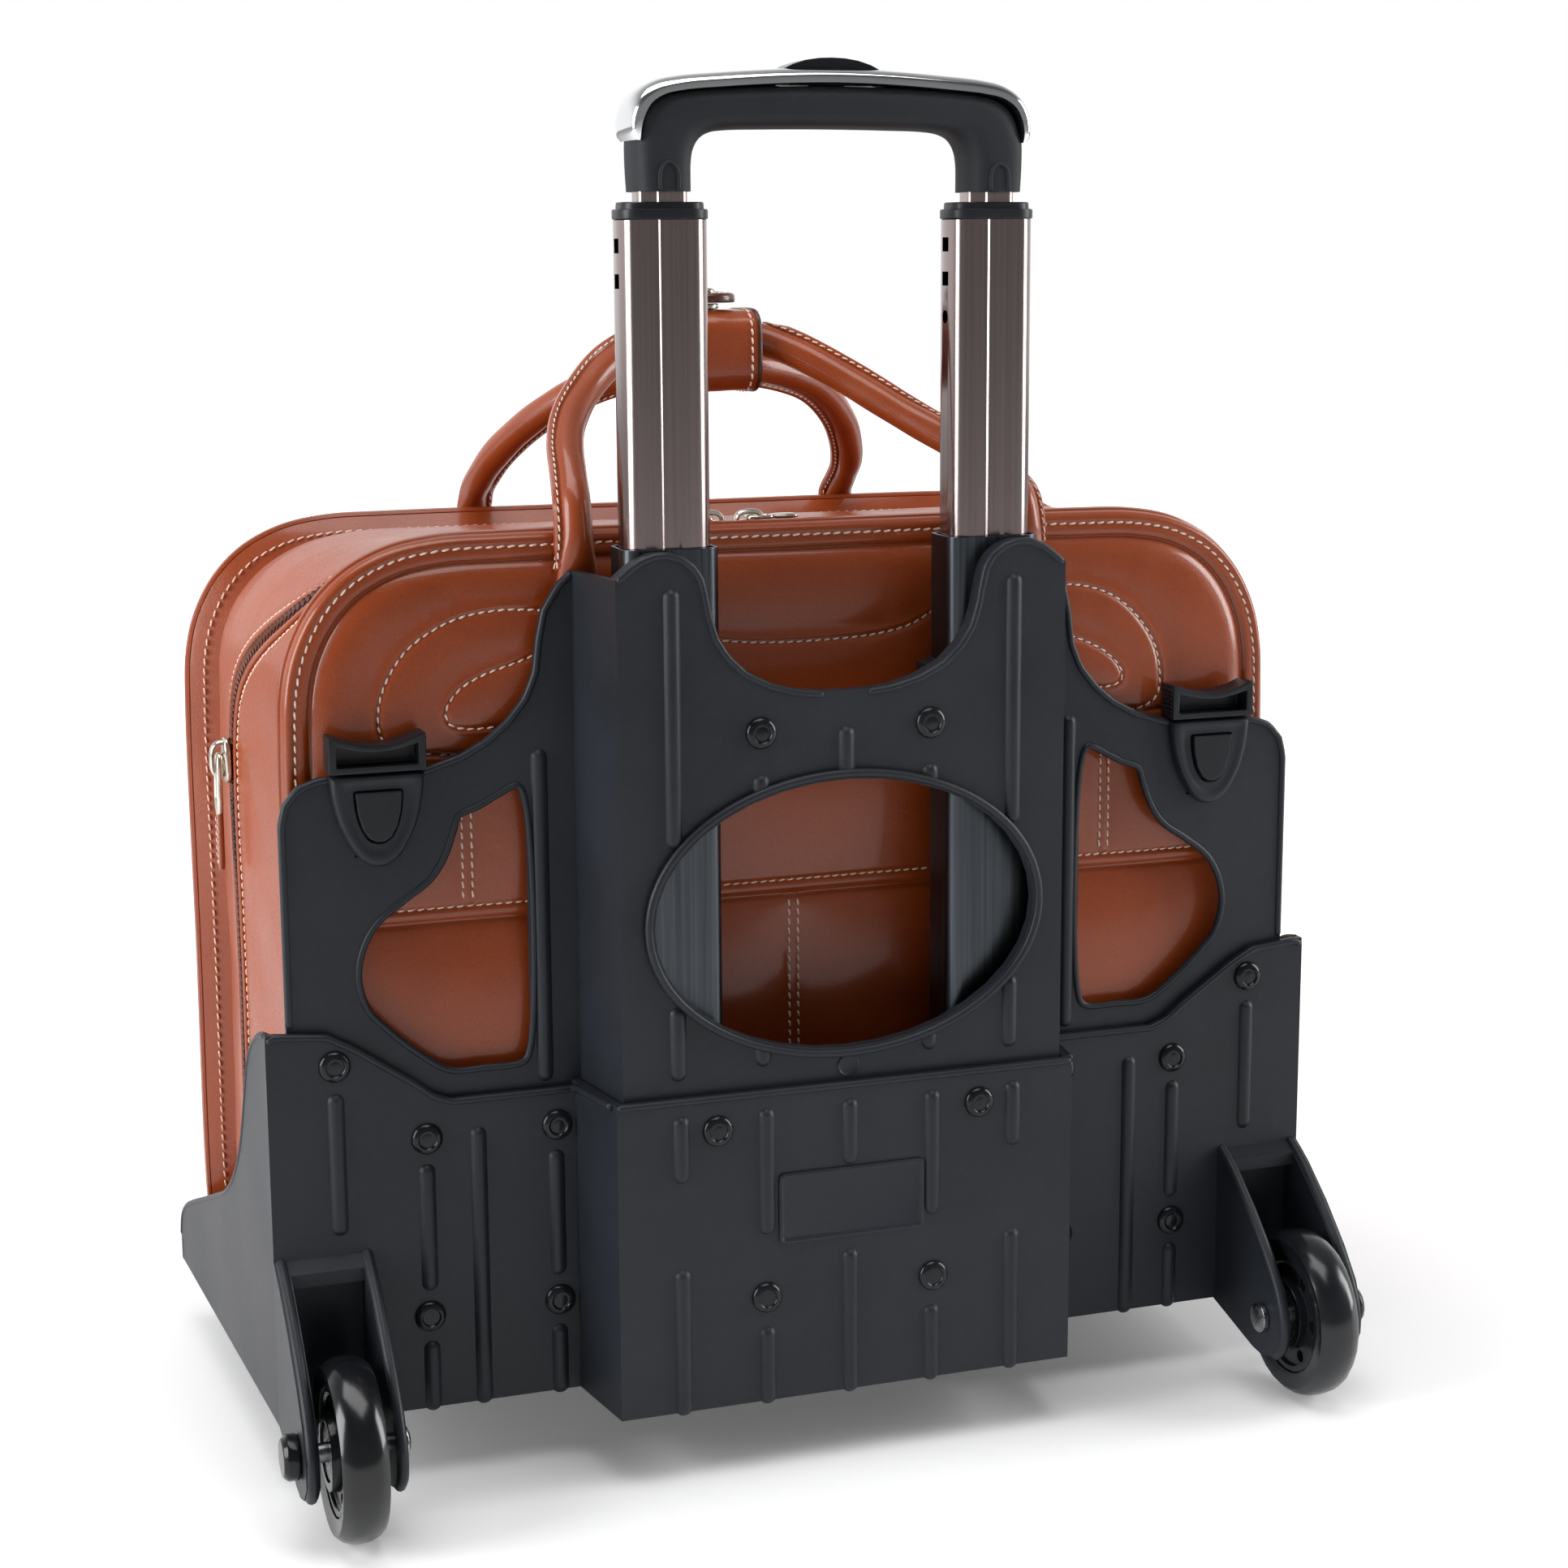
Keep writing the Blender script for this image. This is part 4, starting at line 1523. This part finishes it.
def handle(name, node, pts, out_sign, y_face):
    """A rolled handle with a stitched welt; its ends flatten into tabs on the panel."""
    p = np.array([P(*q) for q in spline(pts, 2.5)])
    mm = p * 1000
    z = mm[:, 2]
    flat = np.clip((374 - z) / 26, 0, 1)
    flat = flat * flat * (3 - 2 * flat)
    tip = np.clip((z - 321) / 7.0, 0.0, 1) ** 0.5
    centre = np.array([0, np.mean([q[1] for q in pts]) + SHIFT, 372.0]) / 1000
    mid = p.copy()
    radial = unit((p - np.array([0, 0, 0.366])) * np.array([1, 0, 1]))
    radial[mm[:, 2] < 374] = np.stack([np.sign(p[mm[:, 2] < 374, 0]), np.zeros((mm[:, 2] < 374).sum()), np.zeros((mm[:, 2] < 374).sum())], 1)
    t = tangents(p, False)
    # across direction: away from the middle of the arch on the tabs and legs
    up = radial.copy()
    for _ in range(8):
        up[1:-1] = unit((up[:-2] + 2 * up[1:-1] + up[2:]) / 4)
    face = np.array([0, -1.0 if y_face < 100 else 1.0, 0])
    u = unit(up - (up * t).sum(1, keepdims=True) * t)
    w = np.cross(t, u)
    n = 20
    ang = 2 * np.pi * np.arange(n) / n
    b = B()
    v = []
    rr = 6.35 + 0.14 * np.sin(np.arange(len(p)) * 0.21) + 0.1 * np.sin(np.arange(len(p)) * 0.57)
    for i in range(len(p)):
        k = flat[i]
        hu = (rr[i] * (1 - k) + 8.4 * k) * (tip[i] if k > 0.5 else 1.0)
        hw = rr[i] * (1 - k) + 3.1 * k
        e = 1 - 0.3 * k
        for a in ang:
            ca, sa = math.cos(a), math.sin(a)
            x = math.copysign(abs(ca) ** e, ca) * hw
            y = math.copysign(abs(sa) ** e, sa) * hu
            v.append(p[i] + w[i] * x / 1000 + u[i] * y / 1000)
    m = len(p)
    fs = [(i * n + a, (i + 1) * n + a, (i + 1) * n + (a + 1) % n, i * n + (a + 1) % n) for i in range(m - 1) for a in range(n)]
    fs += [tuple(range(n))[::-1], tuple((m - 1) * n + a for a in range(n))]
    b.add(v, fs)
    o = b.obj(name, LEATHER, None, "leather", mods=False)
    bm_fix(o)
    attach(o, "bag")
    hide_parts(node)
    # welt: a flat fold that follows the roll, with its stitches
    keep = (z > 356) & ~((mm[:, 0] > -35) & (mm[:, 0] < 7))
    runs, cur = [], []
    for i in range(m):
        if keep[i]:
            cur.append(i)
        elif cur:
            runs.append(cur)
            cur = []
    if cur:
        runs.append(cur)
    wb = B()
    for r in runs:
        r = np.array(r)
        side = np.where(mm[r, 0] < 0, -1.0, 1.0)
        dirn = u[r] * out_sign
        c = p[r] + dirn * (0.0069 + 0.0018 * flat[r])[:, None]
        sc = np.clip(np.minimum(np.arange(len(r)), len(r) - 1 - np.arange(len(r))) / 4.0, 0.15, 1)
        sweep(wb, c, [(-0.0017, -0.0016), (0.0017, -0.0016), (0.0017, 0.0010), (0.0009, 0.0019), (-0.0009, 0.0019), (-0.0017, 0.0010)], dirn, scale=np.stack([sc, sc], 1))
        wv = np.cross(t[r], dirn)
        for sg in (-1, 1):
            stitches(thread_b, c + dirn * 0.0004 + wv * sg * 0.0017, wv * sg, pitch=3.6, length=2.7, r=0.36, lift=0.05)
    wo = wb.obj(name + "_welt", LEATHER, "bag", "leather")
    smooth_mod(wo, False)
    # box stitching round each tab
    for x in {round(q[0]) for q in pts if q[2] < 346}:
        yy = y_face
        loop = [(x - 6.4, 352), (x - 6.4, 333), (x - 5.2, 328.6), (x, 326.6), (x + 5.2, 328.6), (x + 6.4, 333), (x + 6.4, 352)]
        q = spline(loop, 2.0)
        stitches(thread_b, np.array([P(a, yy, c) for a, c in q]), face, pitch=3.6, length=2.7)
    return o


handle("handle_back_rolled", "handle_back", H_BACK, 1.0, 5.0)
handle("handle_front_rolled", "handle_front", H_FRONT, -1.0, 204.6)

# keeper: a stitched band with bound edges round both handles
b = B()
xs = np.concatenate([[-34.0, -33.4, -32.0], np.linspace(-29, 1, 9), [4.0, 5.4, 6.0]])
n = 56


def keeper_ring(w, h, r, x):
    pts = spline(rrect(w, h, r, 6), 1.0, True)
    s = np.linspace(0, len(pts), n + 1)[:-1]
    pts = np.stack([np.interp(s, np.arange(len(pts) + 1), np.r_[pts[:, k], pts[0, k]]) for k in (0, 1)], 1)
    return [P(x, 97 + a, 436.8 + c) for a, c in pts]


rings = []
for x in xs:
    e = min(x + 34.0, 6.0 - x)
    sw = 0.9 * (1 - math.exp(-e / 5.0)) + 0.25 * math.sin(x * 0.4)
    edge = -0.7 if e < 0.1 else (0.1 if e < 1 else 0.0)
    groove = -0.35 * math.exp(-(((e - 3.6) / 0.8) ** 2))
    rings.append(keeper_ring(36.9 + sw + edge + groove, 32.7 + sw + edge + groove, 9.5, x))
for x in (6.0, -14.0, -34.0):
    rings.append(keeper_ring(33.8, 29.6, 7.6, x))
m = len(rings)
f = [(q * n + a, q * n + (a + 1) % n, ((q + 1) % m) * n + (a + 1) % n, ((q + 1) % m) * n + a) for q in range(m) for a in range(n)]
b.add(np.array(rings).reshape(-1, 3), f)
o = b.obj("handle_keeper_band", LEATHER, None, "leather", mods=False)
bm_fix(o)
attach(o, "bag")
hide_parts("handle_keeper")
b = B()
for x in (-33.9, 5.9):
    sweep(b, np.array(keeper_ring(36.6, 32.4, 9.4, x)), circle(0.0011, 8), (1, 0, 0), True)
b.obj("keeper_edge_binding", LEATHER_DARK, "bag", "leather")
for x in (-30.4, 2.4):
    q = np.array(keeper_ring(37.6, 33.4, 9.7, x))
    c = P(x, 97, 436.8)
    nn = unit(q - c)
    stitches(thread_b, np.vstack([q, q[:1]]), np.vstack([nn, nn[:1]]), pitch=3.7, length=2.8)

# snap flap: a rounded double-leather tab over the stud
def tab_outline(k=28, inset=0.0):
    pts = []
    for i in range(k + 1):
        a = math.pi + math.pi * i / k
        pts.append((-14 + (13 - inset) * math.cos(a), 92 + (10 - inset) * math.sin(a)))
    pts += [(-1 - inset, y) for y in np.linspace(95, 104.2, 6)]
    pts += [(-27 + inset, y) for y in np.linspace(104.2, 95, 6)]
    return pts


b = B()
rings = []
for inset, z in [(0.9, 456.5), (0.2, 456.7), (0.0, 457.4), (0.0, 459.0), (0.4, 459.9), (1.2, 460.4), (2.0, 460.3), (2.6, 460.3), (4.2, 460.8), (7.0, 461.1)]:
    rings.append([P(x, y, z) for x, y in tab_outline(inset=inset)])
n = len(rings[0])
f = [(q * n + a, q * n + (a + 1) % n, (q + 1) * n + (a + 1) % n, (q + 1) * n + a) for q in range(len(rings) - 1) for a in range(n)]
f += [tuple(range(n))[::-1], tuple((len(rings) - 1) * n + a for a in range(n))]
b.add(np.array(rings).reshape(-1, 3), f)
o = b.obj("snap_flap_leather", LEATHER_FLAP, None, "leather", mods=False)
bm_fix(o)
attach(o, "snap_flap")
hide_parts("snap_flap")
fb = B()
l = np.array([P(x, y, 460.35) for x, y in tab_outline(inset=2.2)[:30]])
stitches(fb, l, (0, 0, 1), pitch=3.4, length=2.6, r=0.36)
fb.obj("snap_flap_stitches", THREAD, "snap_flap", "leather")
b = B()
prof = [(4.6, 460.5), (4.6, 461.3), (4.3, 461.9), (3.4, 462.4), (1.8, 462.65), (0.3, 462.7)]
v = [P(-14 + r * math.cos(2 * math.pi * a / 24), 92 + r * math.sin(2 * math.pi * a / 24), z) for r, z in prof for a in range(24)]
f = [(q * 24 + a, q * 24 + (a + 1) % 24, (q + 1) * 24 + (a + 1) % 24, (q + 1) * 24 + a) for q in range(5) for a in range(24)]
b.add(v, f + [tuple(range(24))[::-1], tuple(range(120, 144))])
b.obj("snap_cap", NICKEL, "snap_flap", "nickel")

thread_b.obj("bag_stitching", THREAD, "bag", "leather", mods=False)

# ------------------------------------------------------------- zip furniture
def blob(b, c, dims, power=2.6, nu=20, nv=12, bend=None):
    """A rounded cast shape, softer than a box and fuller than an ellipsoid. c and dims in mm."""
    v = []
    for i in range(nv + 1):
        ph = -math.pi / 2 + math.pi * i / nv
        for j in range(nu):
            th = 2 * math.pi * j / nu
            f = lambda q: math.copysign(abs(q) ** (2 / power), q)
            x, y, z = f(math.cos(ph)) * f(math.cos(th)), f(math.cos(ph)) * f(math.sin(th)), f(math.sin(ph))
            q = [c[0] + x * dims[0] / 2, c[1] + y * dims[1] / 2, c[2] + z * dims[2] / 2]
            if bend:
                q = bend(q)
            v.append(P(*q))
    f = [(i * nu + j, i * nu + (j + 1) % nu, (i + 1) * nu + (j + 1) % nu, (i + 1) * nu + j) for i in range(nv) for j in range(nu)]
    b.add(v, f)


def weld(o):
    w = o.modifiers.new("weld", "WELD")
    w.merge_threshold = 2e-6
    return o


def torus_loop(b, pts, r, up, flat=1.0):
    sweep(b, np.array([P(*q) for q in pts]), circle(r / 1000, 12, r * flat / 1000), up, True)


# side slider: cast body over the coil, with a bridge for the pull
b = B()
blob(b, (-214.9, 120, 271.5), (3.6, 11.4, 19.0), 3.4)
bridge = spline([(-215.6, 120, 264.5), (-218.6, 120, 265.2), (-220.5, 120, 267.5), (-220.9, 120, 271.8), (-220.5, 120, 276.2), (-218.6, 120, 278.6), (-215.6, 120, 279.2)], 1.0)
sweep(b, np.array([P(*q) for q in bridge]), circle(0.0012, 10, 0.0019), (0, 1, 0))
o = weld(b.obj("side_slider_cast", NICKEL, "side_slider", "nickel"))
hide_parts("side_slider")
# its pull: a cast loop holding a stitched leather tab
b = B()
loop = spline([(-218.3, 116.7, 271.6), (-218.0, 118.1, 273.6), (-218.0, 121.9, 273.6), (-218.3, 123.3, 271.6), (-218.7, 123.7, 262), (-218.8, 123.3, 252), (-218.8, 121.6, 249.6), (-218.8, 118.4, 249.6), (-218.8, 116.7, 252), (-218.7, 116.3, 262)], 1.2, True)
torus_loop(b, loop, 1.05, (1, 0, 0), 1.25)
blob(b, (-218.8, 120, 252.6), (2.7, 8.4, 8.0), 3.4)
o = weld(b.obj("side_pull_loop", NICKEL, "side_pull", "nickel"))
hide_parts("side_pull")
b = B()
rings = []
tabo = [(-3.3, 250.5), (-3.4, 240), (-3.2, 231), (-2.2, 226.6), (0, 225), (2.2, 226.6), (3.2, 231), (3.4, 240), (3.3, 250.5)]
to = spline(tabo, 0.9)
cxy = np.array([0, 238.0])
for k, dx in [(0.80, -1.5), (0.95, -1.35), (1.0, -0.7), (1.0, 0.0), (0.95, 0.6), (0.8, 0.75)]:
    rings.append([P(-218.3 + dx, 120 + (q[0]) * k, cxy[1] + (q[1] - cxy[1]) * (1 - (1 - k) * 0.35)) for q in to])
n = len(to)
f = [(q * n + a, q * n + (a + 1) % n, (q + 1) * n + (a + 1) % n, (q + 1) * n + a) for q in range(5) for a in range(n)]
f += [tuple(range(n))[::-1], tuple(5 * n + a for a in range(n))]
b.add(np.array(rings).reshape(-1, 3), f)
o = b.obj("side_pull_tab", LEATHER, None, "leather", mods=False)
bm_fix(o)
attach(o, "side_pull")
sb = B()
q = spline([(-2.3, 248), (-2.4, 238), (-2.1, 231), (0, 227.6), (2.1, 231), (2.4, 238), (2.3, 248)], 1.0)
stitches(sb, np.array([P(-219.85, 120 + a, c) for a, c in q]), (-1, 0, 0), pitch=3.0, length=2.2, r=0.3)
sb.obj("side_pull_stitches", THREAD, "side_pull", "leather")

# top sliders: rounded cast bodies with ring pulls lying along the coil
for x, side, u in ((-34, "left", -1), (-17, "right", 1)):
    b = B()
    blob(b, (x, 27, 370.4), (15, 9.2, 3.4), 3.2)
    br = spline([(x - 5.4, 27, 370.6), (x - 5.0, 27, 373.6), (x - 3.2, 27, 375.0), (x + 3.2, 27, 375.0), (x + 5.0, 27, 373.6), (x + 5.4, 27, 370.6)], 0.9)
    sweep(b, np.array([P(*q) for q in br]), circle(0.0011, 10, 0.0017), (0, 1, 0))
    o = weld(b.obj(f"top_slider_cast_{side}", NICKEL, f"top_slider_{side}", "nickel"))
    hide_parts(f"top_slider_{side}")
    b = B()
    lp = [(x + u * a, y, 373.0) for a, y in [(0, 24.2), (6, 23.8), (8.5, 24.4), (9.2, 27), (8.5, 29.6), (6, 30.2), (0, 29.8), (-0.8, 27)]]
    torus_loop(b, spline(lp, 0.9, True), 0.85, (0, 0, 1))
    blob(b, (x + u * 14.6, 27, 373.1), (12.4, 7.0, 2.2), 2.8)
    o = weld(b.obj(f"top_pull_cast_{side}", NICKEL, f"top_pull_{side}", "nickel"))
    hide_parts(f"top_pull_{side}")

# ------------------------------------------------------------------- staging
fl = Mat("studio_floor")
fn = fl.noise(3.0, 3.0)
fl.color(fl.mix(fn, (0.93, 0.93, 0.935), (0.95, 0.95, 0.95)))
fl.rough(fl.rng(fn, 0.55, 0.7))
dist = fl.n("ShaderNodeVectorMath")
dist.operation = "LENGTH"
fl.l(fl.co, dist.inputs[0])
fl.set(Emission_Color=(1, 1, 1, 1))
seen = fl.n("ShaderNodeLightPath")
fl.l(fl.math("MULTIPLY", seen.outputs["Is Camera Ray"], fl.rng(dist.outputs["Value"], 0.1, 0.9, 0.45, 2.2)), fl.b.inputs["Emission Strength"])
me = bpy.data.meshes.new("studio_floor")
R, K = 9.0, 64
me.from_pydata([(0, 0, -0.0006)] + [(R * math.cos(2 * math.pi * k / K), R * math.sin(2 * math.pi * k / K), -0.0006) for k in range(K)], [], [(0, 1 + k, 1 + (k + 1) % K) for k in range(K)])
floor = bpy.data.objects.new("studio_floor", me)
me.materials.append(fl.m)
bpy.context.scene.collection.objects.link(floor)

world = bpy.data.worlds.new("studio")
bpy.context.scene.world = world
world.use_nodes = True
wt = world.node_tree
bg = wt.nodes["Background"]
bg.inputs[0].default_value = (1.0, 1.0, 1.0, 1)
wc, wx = wt.nodes.new("ShaderNodeTexCoord"), wt.nodes.new("ShaderNodeSeparateXYZ")
wt.links.new(wc.outputs["Generated"], wx.inputs[0])
wr = wt.nodes.new("ShaderNodeMapRange")
wr.interpolation_type = "SMOOTHSTEP"
for i, v in ((1, -0.45), (2, 0.6), (3, 0.22), (4, 1.1)):
    wr.inputs[i].default_value = v
wt.links.new(wx.outputs["Y"], wr.inputs[0])
wz = wt.nodes.new("ShaderNodeMapRange")
wz.interpolation_type = "SMOOTHSTEP"
for i, v in ((1, 0.25), (2, 0.75), (3, 1.0), (4, 0.35)):
    wz.inputs[i].default_value = v
wt.links.new(wx.outputs["Z"], wz.inputs[0])
wp = wt.nodes.new("ShaderNodeMath")
wp.operation = "MULTIPLY"
wt.links.new(wr.outputs[0], wp.inputs[0])
wt.links.new(wz.outputs[0], wp.inputs[1])
lp, wm = wt.nodes.new("ShaderNodeLightPath"), wt.nodes.new("ShaderNodeMix")
wt.links.new(lp.outputs["Is Camera Ray"], wm.inputs[0])
wt.links.new(wp.outputs[0], wm.inputs[2])
wm.inputs[3].default_value = 1.0
wt.links.new(wm.outputs[0], bg.inputs[1])


def area(name, loc, look, size, power, color=(1, 1, 1)):
    l = bpy.data.lights.new(name, "AREA")
    l.shape, l.size, l.size_y, l.energy, l.color = "RECTANGLE", size[0], size[1], power, color
    o = bpy.data.objects.new(name, l)
    o.location = loc
    o.rotation_euler = (Vector(look) - Vector(loc)).to_track_quat("-Z", "Y").to_euler()
    bpy.context.scene.collection.objects.link(o)
    return o


area("key_left", (-2.1, -0.25, 0.9), (0, 0, 0.3), (1.0, 1.5), 44)
area("fill_right", (2.1, -0.6, 0.9), (0, 0, 0.25), (0.8, 1.5), 36)
area("top", (-0.2, -0.2, 2.0), (0, 0, 0.3), (2.0, 1.0), 24)

cam = bpy.data.cameras.new("camera")
cam.lens, cam.sensor_width, cam.clip_start, cam.clip_end = 64.64, 36.0, 0.02, 60.0
co = bpy.data.objects.new("camera", cam)
az, el, ro = math.radians(-19.3334), math.radians(10.7270), math.radians(-0.31563)
bk = Vector((math.sin(az) * math.cos(el), -math.cos(az) * math.cos(el), math.sin(el)))
right = (-bk).cross(Vector((0, 0, 1))).normalized()
up = right.cross(-bk)
c, s = math.cos(ro), math.sin(ro)
R_, U_ = c * right + s * up, -s * right + c * up
m = Matrix((R_, U_, bk)).transposed().to_4x4()
m.translation = Vector((-0.37715, -1.10150, 0.47757))
co.matrix_world = m
bpy.context.scene.collection.objects.link(co)
bpy.context.scene.camera = co
bpy.context.scene.view_settings.view_transform = "Standard"
